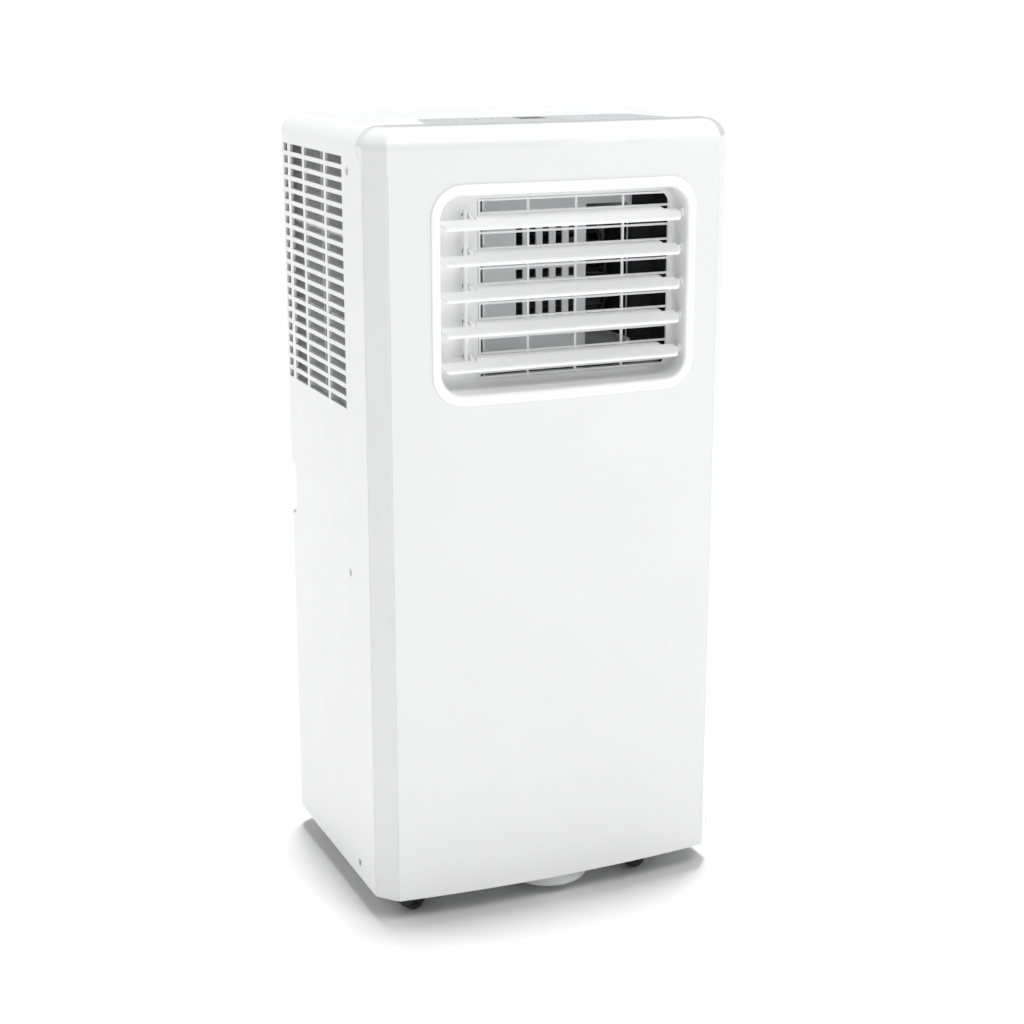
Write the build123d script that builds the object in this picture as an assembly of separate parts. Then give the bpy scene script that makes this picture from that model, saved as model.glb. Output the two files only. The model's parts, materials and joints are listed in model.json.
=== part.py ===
from build123d import *
import math
import os

# Compact portable air conditioner on casters, millimetres, +Z up.
# The front with the louvres faces -Y. The origin is on the floor under the
# middle of the whole object's box. +X is on the right of a person facing it.

# ---- outer casing -------------------------------------------------------
WIDTH = 330.0                # over the two side walls
HEIGHT = 689.0               # floor to top
FLOOR_GAP = 23.0             # floor to the lower edge of the casing
CASING_DEPTH = 262.0         # crown of the front panel to the flat of the rear wall
COLLAR_REACH = 12.0          # exhaust collar, proud of the rear wall
FLANGE_PROUD = 1.4           # louvre trim ring, proud of the front panel
WALL = 2.5                   # moulded wall
FRONT_BOW = 8.7              # crown of the front panel over its two corner lines
CORNER_HALF = WIDTH / 2 - 14.7 # centre plane to a corner line
STRIP_DEPTH = 18.0           # corner line back to the side seam
TOP_ROUND = 18.0             # roll of the top edge
REAR_ROUND = 20.0            # rear upright corners, in plan
SEAM_GAP = 0.4               # between front panel and rear housing
CREASE_R = 0.8               # groove along each corner line
CREASE_TOP = HEIGHT - 37.0
SEAM_SHIFT = 14.0            # the seam steps back by this much near the top
SEAM_SHIFT_LOW = HEIGHT - 37.0 # height where the step starts
SEAM_SHIFT_HIGH = HEIGHT - 15.0# height where the step ends
FIT = 0.3                    # general clearance between loose pieces
RUN = 0.06                   # radial clearance of running fits

FRONT_Y = (FLANGE_PROUD - CASING_DEPTH - COLLAR_REACH) / 2
REAR_Y = FRONT_Y + CASING_DEPTH
CORNER_Y = FRONT_Y + FRONT_BOW
SEAM_Y = CORNER_Y + STRIP_DEPTH
TOP_SEAM_Y = SEAM_Y + SEAM_SHIFT
HALF = WIDTH / 2
INNER_HALF = HALF - WALL
INNER_REAR = REAR_Y - WALL

# ---- side air intake ----------------------------------------------------
GRILLE_ROWS = 20
GRILLE_PITCH = 10.77
GRILLE_SLOT = 6.8
GRILLE_TOP = HEIGHT - 29.8     # centre of the highest row
GRILLE_COLUMNS = [(69.3, 112.4), (118.0, 171.6), (177.3, 211.8), (220.0, 231.0)]

# ---- side screws: behind the corner line, height ------------------------
SIDE_SCREWS = [(55.0, HEIGHT - 37.0), (67.8, 307.2), (59.8, 37.6)]
SCREW_HEAD_R = 3.4
SCREW_HEAD_H = 1.6
SCREW_R = 1.9
SCREW_LENGTH = 7.5
LUG_HALF = 8.0               # half height of a screw lug on the front panel
LUG_THICK = 4.5

# ---- hand grips in the rear corners -------------------------------------
GRIP_LOW = 320.0
GRIP_HIGH = 369.0
GRIP_DEPTH = 30.0            # forward from the rear wall
GRIP_REACH = 26.0            # inward from the side wall
GRIP_ROUND = 9.0

# ---- rear wall ----------------------------------------------------------
EXHAUST_Z = 325.0
EXHAUST_R = 60.0             # bore of the exhaust collar
COLLAR_WALL = 3.0
COLLAR_FLANGE = 9.0
COLLAR_FLANGE_T = 2.5
REAR_GRILLE_LOW = 72.0
REAR_GRILLE_HIGH = 250.0
REAR_GRILLE_HALF = 108.0
REAR_SLOT = 7.0
REAR_SLOT_PITCH = 11.5
REAR_COLUMNS = 4
REAR_BAR = 5.0

# ---- air outlet and louvres ---------------------------------------------
OUTLET_X = 6.0               # middle of the outlet, right of the centre plane
OUTLET_Z = HEIGHT - 136.5
FLANGE_HALF_X = 121.0
FLANGE_HALF_Z = 91.0
FLANGE_ROUND = 27.0
RECESS_HALF_X = 112.5
RECESS_HALF_Z = 81.5
RECESS_ROUND = 18.0
RECESS_DEPTH = 32.0          # crown line of the panel to the back plate
FRAME_WALL = 2.0
DUCT_LEFT = -63.0            # duct window in the back plate
DUCT_RIGHT = 116.0
DUCT_HALF_Z = 75.5

BLADES = 5
BLADE_PITCH = 29.3
BLADE_CHORD = 22.0
BLADE_THICK = 3.6
BLADE_TILT = 25.0            # front edge down at rest
BLADE_LEFT = -98.5             # front half, at full chord
BLADE_RIGHT = 111.0
BLADE_REAR_LEFT = -70.0        # rear half, right of the crank lug
BLADE_REAR_RIGHT = 103.0
TAB_LEFT = -103.5
TAB_RIGHT = 115.5
TAB_CHORD = 12.0
BLADE_PIN_R = 2.0
BLADE_PIN_L = 4.0
BLADE_AXIS_BACK = 15.5       # blade axis behind the crown line
CRANK_R = 12.0               # crank pin from the blade axis
CRANK_PIN_R = 1.5
LUG_X = -75.0                # left face of the crank lug
LUG_T = 2.4
LINK_T = 3.0
LINK_W = 5.0
REAR_STEP = 3.5              # blade axis to the cut-back rear edge beside the link bar

GUARD_T = 2.2
GUARD_BAR = 1.8
GUARD_COLUMNS = 4
GUARD_STEP = 12.9            # the two rails of one pair, apart in height
GUARD_FIRST_Z = OUTLET_Z - 70.9# lowest single rail

# ---- blower, behind the outlet ------------------------------------------
BLOWER_Y = 20.0
BLOWER_Z = OUTLET_Z - 9.5
BLOWER_WHEEL_R = 58.0
BLOWER_LEFT = -58.0
BLOWER_RIGHT = 96.0
BLOWER_R0 = 66.0             # scroll radius at the cut-off
BLOWER_R1 = 98.0             # scroll radius where the outlet starts
SCROLL_WALL = 2.0
INLET_R = 46.0
BLOWER_BLADES = 36
BLOWER_BLADE_T = 1.2
SHAFT_R = 4.0
BLOWER_MOTOR_R = 33.0
BLOWER_MOTOR_L = 40.0
SLOT_GRID_LEFT = -14.0       # slotted guard behind the outlet duct
SLOT_GRID_COUNT = 5
SLOT_GRID_PITCH = 12.4
SLOT_GRID_SLOT = 6.4
GUARD_PLATE_BACK = 34.0      # guard behind the outlet's back plate
GUARD_PLATE_T = 2.0
GUARD_BAND = 12.0            # solid band of the guard at top and bottom
GUARD_OPEN = (52.0, 92.0)    # opening right of the slots, in front of the wheel
FLARE_DEPTH = 30.0           # outlet duct's flare towards the window

# ---- evaporator coils, one behind each side intake ----------------------
COIL_IN = HALF - 44.0
COIL_OUT = HALF - 18.0
COIL_FRONT = -58.0
COIL_REAR = REAR_Y - 25.7
COIL_LOW = HEIGHT - 269.0
COIL_HIGH = HEIGHT - 33.0
FIN_PITCH = 4.0
FIN_GAP = 2.8
FIN_DEPTH = 7.0
TUBE_R = 4.0
EVAPORATOR_ROWS = 8
BEND_R = 12.0

# ---- air filters --------------------------------------------------------
FILTER_IN = HALF - 14.0
FILTER_T = 6.0
FILTER_FRONT = -66.0
FILTER_LOW = HEIGHT - 245.0
FILTER_HIGH = HEIGHT - 17.0
FILTER_BORDER = 7.0
FILTER_RIB = 3.0
FILTER_RIBS = 2
MESH_T = 0.8
FILTER_TAB = 7.0             # pull tab, inside the depth of the exhaust collar

# ---- middle tray --------------------------------------------------------
TRAY_LOW = HEIGHT - 291.0
TRAY_FLOOR = 3.0
TRAY_RIM = 16.0
TRAY_HALF = HALF - 7.0
TRAY_FRONT = -104.0
TRAY_REAR = REAR_Y - 8.7
TRAY_ROUND = 14.0

# ---- condenser and its blower -------------------------------------------
CONDENSER_HALF = 122.0
CONDENSER_Y = (86.0, 114.0)
CONDENSER_Z = (68.0, 256.0)
CONDENSER_ROWS = 7
FAN_X = 30.0
FAN_Z = 160.0
FAN_WHEEL_R = 66.0
FAN_WHEEL_L = 46.0
FAN_R0 = 74.0
FAN_R1 = 100.0
FAN_FRONT = 20.0
FAN_REAR = 78.0
FAN_TOP = 262.0
FAN_BLADES = 30
FAN_INLET_R = 56.0
FAN_MOTOR_R = 36.0
FAN_MOTOR_L = 48.0
DUCT_HALF = 72.0
DUCT_TOP = 394.0

# ---- compressor ---------------------------------------------------------
COMPRESSOR_X = -88.0
COMPRESSOR_Y = -41.0
COMPRESSOR_R = 51.0
COMPRESSOR_H = 182.0
ACCUMULATOR_R = 17.0
ACCUMULATOR_H = 108.0
ACCUMULATOR_LOW = 100.0
PIPE_R = 4.0                 # suction and discharge pipes
LIQUID_R = 3.0
PIPE_BEND = 16.0
PIPE_CROSS_Z = 350.0         # suction pipe crosses over to the left side
DISCHARGE_Z = 300.0
SUCTION_HOLE = (-100.0, -80.0)
LIQUID_HOLE = (104.0, 60.0)
PIPE_HOLE_R = 6.0
GROMMET_R = 9.0
GROMMET_H = 10.0
FOOT_R = 58.0
FOOT_TURN = 90.0             # heading of the first foot
FOOT_T = 3.0

# ---- base pan -----------------------------------------------------------
PAN_HALF = HALF - 10.0
PAN_FRONT = -118.0
PAN_REAR = REAR_Y - 5.7
PAN_LOW = 37.0
PAN_FLOOR = 3.0
PAN_RIM = 26.0
PAN_ROUND = 14.0
SUMP_X = 7.0
SUMP_Y = -94.0
SUMP_R = 37.0
SUMP_LOW = 9.0
SUMP_ROUND = 5.0
SUMP_RIM = 4.0
SUMP_RIM_T = 2.0

# ---- casters ------------------------------------------------------------
CASTER_X = HALF - 54.5
CASTER_Y = (-91.0, 80.0)
CASTER_TRAIL = 18.0
CASTER_ANGLE = 205.0         # heading of the trail at rest, about Z from +X
WHEEL_R = 14.0
WHEEL_W = 12.0
AXLE_R = 2.0
HOOD_GAP = 1.2
HOOD_WALL = 2.0
HOOD_TOP = 32.0
STEM_R = 4.0
STEM_TOP = 52.0
BOSS_R = 9.0

# ---- splash wheel -------------------------------------------------------
SPLASH_X = -98.0
SPLASH_Y = 52.0
SPLASH_Z = 76.0
SPLASH_R = 30.0
SPLASH_T = 3.0
SPLASH_SHAFT_R = 2.0
SPLASH_MOTOR_R = 18.0
SPLASH_MOTOR_L = 24.0

# ---- controls -----------------------------------------------------------
PANEL_X = 8.0                # middle of the control inlay
PANEL_FRONT_HALF = 112.0
PANEL_REAR_HALF = 98.0
PANEL_FRONT_Y = CORNER_Y + 34.0
PANEL_REAR_Y = CORNER_Y + 92.0
INLAY_T = 0.8
BUTTON_ROW_Y = CORNER_Y + 62.0
BUTTON_OFFSETS = [-83.0, -69.5, -56.0, -42.5, 28.0, 39.5, 51.0]
BUTTON_LENGTH = 9.0
BUTTON_WIDTH = 6.0
BUTTON_PROUD = 0.5
BUTTON_TRAVEL = 0.8
BUTTON_STEM = 8.0
DISPLAY_LENGTH = 25.0
DISPLAY_WIDTH = 20.0
DISPLAY_Y = CORNER_Y + 72.0
DISPLAY_T = 1.8
COVER_HALF = HALF - 18.0
COVER_REAR = REAR_Y - 17.5
LEDGE = 4.0
BOARD_T = 1.6

# ---- electrics ----------------------------------------------------------
EBOX_X = (HALF - 113.0, HALF - 17.0)
EBOX_Y = (-112.0, -56.0)
EBOX_Z = (236.0, 384.0)
EBOX_WALL = 2.0
CAPACITOR_R = 15.0
CAPACITOR_H = 54.0

# ---- drains and cord inlet ----------------------------------------------
DRAIN_X = -128.0
DRAIN_LOW_Z = 50.0
DRAIN_MID_Z = TRAY_LOW + 9.0
SPOUT_R = 6.0
SPOUT_BORE = 4.0
SPOUT_REACH = 5.0            # proud of the rear wall
CAP_R = 9.0
CORD_X = 128.0
CORD_Z = 130.0
BUSH_R = 8.0
BUSH_BORE = 4.2
BUSH_FLANGE_R = 12.0
BUSH_REACH = 9.0


# ---- helpers ------------------------------------------------------------
def block(x0, x1, y0, y1, z0, z1):
    """Box between two corners."""
    centre = Pos((x0 + x1) / 2, (y0 + y1) / 2, (z0 + z1) / 2)
    return centre * Box(x1 - x0, y1 - y0, z1 - z0)


def rod_x(radius, x0, x1, y, z):
    """Cylinder along X."""
    return Pos((x0 + x1) / 2, y, z) * Rot(0, 90, 0) * Cylinder(radius, x1 - x0)


def rod_y(radius, y0, y1, x, z):
    """Cylinder along Y."""
    return Pos(x, (y0 + y1) / 2, z) * Rot(90, 0, 0) * Cylinder(radius, y1 - y0)


def rod_z(radius, z0, z1, x, y):
    """Cylinder along Z."""
    return Pos(x, y, (z0 + z1) / 2) * Cylinder(radius, z1 - z0)


def fuse(pieces):
    """One shape from a list of touching or overlapping shapes."""
    return pieces[0] + pieces[1:] if len(pieces) > 1 else pieces[0]


def group(shapes):
    """Separate solids in one node."""
    return Compound([solid for shape in shapes for solid in shape.solids()])


def front_plate(half_x, half_z, radius, y0, y1):
    """Rounded rectangle facing -Y, centred on the air outlet."""
    face = Plane.XZ * RectangleRounded(2 * half_x, 2 * half_z, radius)
    solid = extrude(face, amount=y1 - y0)
    return Pos(OUTLET_X, y1, OUTLET_Z) * solid


def side_prism(face, x0, x1):
    """Extrude a face drawn with (y, z) coordinates from x0 to x1."""
    return Pos(x0, 0, 0) * extrude(Plane.YZ * face, amount=x1 - x0)


def plan_face(grow=0.0):
    """Plan outline of the casing, grown outward by a distance."""
    corner = (CORNER_HALF, CORNER_Y)
    seam = (HALF, SEAM_Y)
    edges = [
        ThreePointArc((-CORNER_HALF, CORNER_Y), (0, FRONT_Y), corner),
        Line(corner, seam),
        Line(seam, (HALF, REAR_Y - REAR_ROUND)),
        RadiusArc((HALF, REAR_Y - REAR_ROUND), (HALF - REAR_ROUND, REAR_Y), -REAR_ROUND),
        Line((HALF - REAR_ROUND, REAR_Y), (REAR_ROUND - HALF, REAR_Y)),
        RadiusArc((REAR_ROUND - HALF, REAR_Y), (-HALF, REAR_Y - REAR_ROUND), -REAR_ROUND),
        Line((-HALF, REAR_Y - REAR_ROUND), (-HALF, SEAM_Y)),
        Line((-HALF, SEAM_Y), (-CORNER_HALF, CORNER_Y)),
    ]
    face = make_face(edges)
    return offset(face, amount=grow, kind=Kind.INTERSECTION) if grow else face


def casing_block(inset, low, round_top):
    """Outer form of the casing, moved in by a wall thickness; built down from its top."""
    top = HEIGHT - inset
    solid = extrude(plan_face(-inset), amount=low - top)
    top_edges = solid.faces().sort_by(Axis.Z)[-1].edges()
    return Pos(0, 0, top) * fillet(top_edges, round_top)


def front_region(gap):
    """Everything in front of the seam; the seam steps back near the top."""
    y0, y1 = SEAM_Y + gap, TOP_SEAM_Y + gap
    step = Spline(
        [(y0, SEAM_SHIFT_LOW), (y1, SEAM_SHIFT_HIGH)],
        tangents=[(0, 1), (0, 1)],
    )
    front, low, high = FRONT_Y - 20, -10.0, HEIGHT + 10
    outline = [
        Line((front, low), (y0, low)),
        Line((y0, low), (y0, SEAM_SHIFT_LOW)),
        step,
        Line((y1, SEAM_SHIFT_HIGH), (y1, high)),
        Line((y1, high), (front, high)),
        Line((front, high), (front, low)),
    ]
    return side_prism(make_face(outline), -HALF - 10, HALF + 10)


def spiral(centre, r0, r1, start, sweep, count=13):
    """Points on a scroll whose radius grows evenly with the angle."""
    points = []
    for i in range(count):
        share = i / (count - 1)
        angle = math.radians(start + sweep * share)
        radius = r0 + (r1 - r0) * share
        points.append((centre[0] + radius * math.cos(angle), centre[1] + radius * math.sin(angle)))
    return points


def finned_block(length, depth, height, pitch, gap, groove):
    """Fin pack along X, centred, with open gaps on its two broad faces (+Y and -Y)."""
    pack = Box(length, depth, height)
    count = int((length - 2 * pitch) // pitch)
    first = -(count - 1) * pitch / 2
    cuts = []
    for i in range(count):
        for side in (-1, 1):
            middle = side * (depth / 2 - groove / 2)
            cuts.append(Pos(first + i * pitch, middle, 0) * Box(gap, groove, height - 2 * pitch))
    return pack - cuts


def drum_wheel(radius, length, blades, blade_t, hub_r, bore_r):
    """Forward-curved blower wheel along Z, its back plate at the low end."""
    ring = 3.0
    blade_depth = 11.0
    plate = Pos(0, 0, -length / 2 + 1.0) * Cylinder(radius, 2.0)
    rim = Pos(0, 0, length / 2 - ring / 2) * (
        Cylinder(radius, ring) - Cylinder(radius - blade_depth, ring)
    )
    hub = Cylinder(hub_r, length * 0.5, align=(Align.CENTER, Align.CENTER, Align.MIN))
    hub = Pos(0, 0, -length / 2) * hub
    pieces = [plate, rim, hub]
    vane = Pos(radius - blade_depth / 2 - 0.5, 0, 0) * Rot(0, 0, 28) * Box(
        blade_depth, blade_t, length - 1.0
    )
    for i in range(blades):
        pieces.append(Rot(0, 0, 360 / blades * i) * vane)
    wheel = fuse(pieces)
    trim = Cylinder(radius, length)
    return (wheel & trim) - Cylinder(bore_r, 2 * length)


# ---- casing -------------------------------------------------------------
def casing_shell():
    """Hollow casing, open below."""
    outer = casing_block(0.0, FLOOR_GAP, TOP_ROUND)
    inner = casing_block(WALL, FLOOR_GAP - 5, TOP_ROUND - WALL)
    return outer - inner


def screw_places():
    """(side, y, z) of every side screw."""
    return [(side, CORNER_Y + back, z) for side in (-1, 1) for back, z in SIDE_SCREWS]


def screw_lug(side, y, z, limit):
    """Lug behind the seam that takes one side screw, rooted in the corner strip."""
    outer = INNER_HALF - FIT
    inner = outer - LUG_THICK
    low, high = z - LUG_HALF, z + LUG_HALF
    tongue = block(*sorted((side * inner, side * outer)), SEAM_Y - 4, y + LUG_HALF, low, high)
    root = block(*sorted((side * inner, side * HALF)), SEAM_Y - 12, SEAM_Y - 1, low, high)
    pilot = rod_x(SCREW_R, *sorted((side * (inner - 1), side * HALF)), y, z)
    return (tongue + (root & limit)) - pilot


def front_panel(shell):
    """Bowed front with its corner strips, top roll and screw lugs."""
    panel = shell & front_region(-SEAM_GAP / 2)
    hole = front_plate(
        RECESS_HALF_X + FRAME_WALL + FIT,
        RECESS_HALF_Z + FRAME_WALL + FIT,
        RECESS_ROUND + FRAME_WALL + FIT,
        FRONT_Y - 10,
        FRONT_Y + 20,
    )
    creases = [
        rod_z(CREASE_R, FLOOR_GAP - 5, CREASE_TOP, side * CORNER_HALF, CORNER_Y) for side in (-1, 1)
    ]
    panel = panel - creases
    limit = extrude(plan_face(-WALL / 2), amount=HEIGHT)
    return (panel - hole) + [screw_lug(side, y, z, limit) for side, y, z in screw_places()]


def side_slots():
    """Cutter for the air intake in both side walls."""
    cuts = []
    for row in range(GRILLE_ROWS):
        z = GRILLE_TOP - row * GRILLE_PITCH
        for near, far in GRILLE_COLUMNS:
            cuts.append(
                block(
                    -HALF - 5, HALF + 5,
                    CORNER_Y + near, CORNER_Y + far,
                    z - GRILLE_SLOT / 2, z + GRILLE_SLOT / 2,
                )
            )
    return cuts


def rear_slots():
    """Cutter for the condenser air intake in the rear wall."""
    rows = int((REAR_GRILLE_HIGH - REAR_GRILLE_LOW) // REAR_SLOT_PITCH)
    width = (2 * REAR_GRILLE_HALF - (REAR_COLUMNS - 1) * REAR_BAR) / REAR_COLUMNS
    cuts = []
    for row in range(rows):
        z = REAR_GRILLE_LOW + REAR_SLOT_PITCH * (row + 0.5)
        for column in range(REAR_COLUMNS):
            x = -REAR_GRILLE_HALF + column * (width + REAR_BAR)
            cuts.append(
                block(x, x + width, REAR_Y - 10, REAR_Y + 5, z - REAR_SLOT / 2, z + REAR_SLOT / 2)
            )
    return cuts


def grip_block(side, grow):
    """Space of one hand grip, or its liner when grown by the wall."""
    x0, x1 = sorted((side * (HALF - GRIP_REACH - grow), side * (HALF + 8)))
    body = block(
        x0, x1,
        REAR_Y - GRIP_DEPTH - grow, REAR_Y + 8,
        GRIP_LOW - grow, GRIP_HIGH + grow,
    )
    edges = body.edges().filter_by(Axis.X).group_by(Axis.Y)[0]
    return fillet(edges, GRIP_ROUND + grow)


def filter_slot(side, grow):
    """Passage of a filter frame through the rear wall."""
    x0, x1 = sorted((side * (FILTER_IN - grow), side * (FILTER_IN + FILTER_T + grow)))
    return block(x0, x1, REAR_Y - 25, REAR_Y + 5, FILTER_LOW - grow, FILTER_HIGH + grow)


def rear_housing(shell, envelope):
    """Side walls and rear wall in one moulding."""
    housing = shell - front_region(SEAM_GAP / 2)
    housing = housing - block(
        -COVER_HALF - FIT, COVER_HALF + FIT,
        SEAM_Y, COVER_REAR + FIT,
        HEIGHT - WALL - 1, HEIGHT + 1,
    )
    ledge_low, ledge_high = HEIGHT - WALL - 3, HEIGHT - WALL
    ledges = [
        block(COVER_HALF - LEDGE, COVER_HALF + 4, TOP_SEAM_Y + 2, COVER_REAR + 4, ledge_low, ledge_high),
        block(-COVER_HALF - 4, LEDGE - COVER_HALF, TOP_SEAM_Y + 2, COVER_REAR + 4, ledge_low, ledge_high),
        block(
            LEDGE - COVER_HALF, COVER_HALF - LEDGE,
            COVER_REAR - LEDGE, COVER_REAR + 4, ledge_low, ledge_high,
        ),
    ]
    liners = [grip_block(side, WALL) & envelope for side in (-1, 1)]
    housing = housing + ledges + liners
    housing = housing - [grip_block(side, 0.0) for side in (-1, 1)]
    housing = housing - side_slots() - rear_slots()
    housing = housing - [filter_slot(side, FIT) for side in (-1, 1)]
    holes = [
        rod_y(EXHAUST_R + COLLAR_WALL + FIT, REAR_Y - 10, REAR_Y + 5, 0, EXHAUST_Z),
        rod_y(SPOUT_R + FIT, REAR_Y - 10, REAR_Y + 5, DRAIN_X, DRAIN_LOW_Z),
        rod_y(SPOUT_R + FIT, REAR_Y - 10, REAR_Y + 5, DRAIN_X, DRAIN_MID_Z),
        rod_y(BUSH_R + FIT, REAR_Y - 10, REAR_Y + 5, CORD_X, CORD_Z),
    ]
    for side, y, z in screw_places():
        x0, x1 = sorted((side * (INNER_HALF - 1), side * (HALF + 1)))
        holes.append(rod_x(SCREW_R + FIT, x0, x1, y, z))
        x0, x1 = sorted((side * (HALF - SCREW_HEAD_H), side * (HALF + 1)))
        holes.append(rod_x(SCREW_HEAD_R + FIT, x0, x1, y, z))
    return housing - holes


def side_screws():
    """Six screws that hold the housing to the front panel's lugs."""
    screws = []
    for side, y, z in screw_places():
        seat = HALF - SCREW_HEAD_H
        x0, x1 = sorted((side * seat, side * (HALF - 0.4)))
        head = rod_x(SCREW_HEAD_R, x0, x1, y, z)
        cross = [
            block(x0 - 1, x1 + 1, y - 2.2, y + 2.2, z - 0.45, z + 0.45),
            block(x0 - 1, x1 + 1, y - 0.45, y + 0.45, z - 2.2, z + 2.2),
        ]
        floor = rod_x(SCREW_HEAD_R, *sorted((side * seat, side * (seat + 0.4))), y, z)
        x0, x1 = sorted((side * (seat - SCREW_LENGTH), side * seat))
        shank = rod_x(SCREW_R - 0.05, x0, x1, y, z)
        screws.append((head - cross) + floor + shank)
    return group(screws)


def exhaust_collar():
    """Ring on the rear wall that takes the exhaust hose."""
    tube = rod_y(EXHAUST_R + COLLAR_WALL, INNER_REAR, REAR_Y + COLLAR_REACH, 0, EXHAUST_Z)
    flange = rod_y(
        EXHAUST_R + COLLAR_FLANGE, REAR_Y, REAR_Y + COLLAR_FLANGE_T, 0, EXHAUST_Z
    )
    bore = rod_y(EXHAUST_R, INNER_REAR - 5, REAR_Y + COLLAR_REACH + 5, 0, EXHAUST_Z)
    return (tube + flange) - bore


# ---- air outlet ---------------------------------------------------------
def blade_heights():
    """Heights of the blade axes, top blade first."""
    top = OUTLET_Z + BLADE_PITCH * (BLADES - 1) / 2
    return [top - i * BLADE_PITCH for i in range(BLADES)]


BLADE_AXIS_Y = FRONT_Y + BLADE_AXIS_BACK
BACK_PLATE_Y = FRONT_Y + RECESS_DEPTH


def louvre_frame():
    """Trim ring, recess walls and back plate with the duct window."""
    proud = extrude(plan_face(FLANGE_PROUD), amount=HEIGHT)
    behind = extrude(plan_face(0.2), amount=HEIGHT)
    flange = front_plate(FLANGE_HALF_X, FLANGE_HALF_Z, FLANGE_ROUND, FRONT_Y - 10, CORNER_Y + 5)
    flange = (flange & proud) - behind
    wall_x, wall_z = RECESS_HALF_X + FRAME_WALL, RECESS_HALF_Z + FRAME_WALL
    tube = front_plate(
        wall_x, wall_z, RECESS_ROUND + FRAME_WALL, FRONT_Y - 10, BACK_PLATE_Y + FRAME_WALL
    )
    frame = flange + (tube & proud)
    recess = front_plate(
        RECESS_HALF_X, RECESS_HALF_Z, RECESS_ROUND, FRONT_Y - 12, BACK_PLATE_Y
    )
    frame = frame - recess
    window = block(
        DUCT_LEFT, DUCT_RIGHT,
        BACK_PLATE_Y - 1, BACK_PLATE_Y + FRAME_WALL + 1,
        OUTLET_Z - DUCT_HALF_Z, OUTLET_Z + DUCT_HALF_Z,
    )
    frame = frame - window
    bearings = []
    for z in blade_heights():
        bearings.append(
            rod_x(BLADE_PIN_R + RUN, TAB_LEFT - 20, TAB_RIGHT + 20, BLADE_AXIS_Y, z)
        )
    return frame - bearings


def louvre_blade(z):
    """One blade: long front half, shorter rear half, tabs, pins and crank lug."""
    body = extrude(SlotOverall(BLADE_CHORD, BLADE_THICK, 90), amount=BLADE_RIGHT - BLADE_LEFT)
    blade = Pos(BLADE_LEFT, 0, 0) * Rot(0, 90, 0) * body
    half = BLADE_CHORD / 2 + 1
    cut_left = block(BLADE_LEFT - 1, BLADE_REAR_LEFT, REAR_STEP, half, -BLADE_THICK, BLADE_THICK)
    cut_right = block(BLADE_REAR_RIGHT, BLADE_RIGHT + 1, TAB_CHORD / 2, half, -BLADE_THICK, BLADE_THICK)
    tab = extrude(SlotOverall(TAB_CHORD, BLADE_THICK, 90), amount=TAB_RIGHT - TAB_LEFT)
    tab = Pos(TAB_LEFT, 0, 0) * Rot(0, 90, 0) * tab
    blade = (blade - [cut_left, cut_right]) + (tab - cut_left)
    left_pin = rod_x(BLADE_PIN_R, TAB_LEFT - 3.5, TAB_LEFT + 1, 0, 0)
    right_pin = rod_x(BLADE_PIN_R, TAB_RIGHT - 1, TAB_RIGHT + 3.9, 0, 0)
    lug = block(LUG_X, LUG_X + LUG_T, 2.0, CRANK_R + 2.4, -2.4, 2.4)
    pin = rod_x(CRANK_PIN_R, LUG_X - LINK_T - 1.2, LUG_X, CRANK_R, 0)
    return Pos(0, BLADE_AXIS_Y, z) * Rot(BLADE_TILT, 0, 0) * (blade + [left_pin, right_pin, lug, pin])


def crank_offset():
    """Crank pin from the blade axis at rest, as (dy, dz)."""
    angle = math.radians(BLADE_TILT)
    return CRANK_R * math.cos(angle), CRANK_R * math.sin(angle)


def louvre_link():
    """Bar that ties the five crank pins together."""
    dy, dz = crank_offset()
    y = BLADE_AXIS_Y + dy
    heights = [z + dz for z in blade_heights()]
    x1 = LUG_X - 0.4
    x0 = x1 - LINK_T
    bar = block(x0, x1, y - LINK_W / 2, y + LINK_W / 2, heights[-1] - 4, heights[0] + 4)
    holes = [rod_x(CRANK_PIN_R + RUN, x0 - 1, x1 + 1, y, z) for z in heights]
    return bar - holes


def outlet_guard():
    """Finger guard in the duct window: uprights and paired cross rails."""
    left, right = DUCT_LEFT + FIT, DUCT_RIGHT - FIT
    low, high = OUTLET_Z - DUCT_HALF_Z + FIT, OUTLET_Z + DUCT_HALF_Z - FIT
    y0 = BACK_PLATE_Y - 0.1
    y1 = y0 + GUARD_T
    pieces = []
    step = (right - left - GUARD_BAR) / GUARD_COLUMNS
    for i in range(GUARD_COLUMNS + 1):
        x = left + i * step
        pieces.append(block(x, x + GUARD_BAR, y0, y1, low, high))
    rails = [low, high - GUARD_BAR]
    for i in range(BLADES + 1):
        rails.append(GUARD_FIRST_Z + i * BLADE_PITCH)
        rails.append(GUARD_FIRST_Z + i * BLADE_PITCH - GUARD_STEP)
    for z in rails:
        if low <= z <= high - GUARD_BAR:
            pieces.append(block(left, right, y0, y1, z, z + GUARD_BAR))
    return fuse(pieces)


# ---- upper blower -------------------------------------------------------
def blower_outline(grow):
    """(y, z) outline of the scroll, from the lip of its outlet round and back."""
    start, sweep = 225.0, 225.0
    r0, r1 = BLOWER_R0 + grow, BLOWER_R1 + grow
    points = spiral((BLOWER_Y, BLOWER_Z), r0, r1, start, sweep)
    mouth = BACK_PLATE_Y + FRAME_WALL + FIT
    mouth_low = OUTLET_Z - DUCT_HALF_Z - 2 - grow
    mouth_high = OUTLET_Z + DUCT_HALF_Z + 2 + grow
    scroll = Spline(points, tangents=[(1, -1), (-1, 0)])
    edges = [
        scroll,
        Line(points[-1], (mouth, mouth_high)),
        Line((mouth, mouth_high), (mouth, mouth_low)),
        Line((mouth, mouth_low), points[0]),
    ]
    return make_face(edges)


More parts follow.
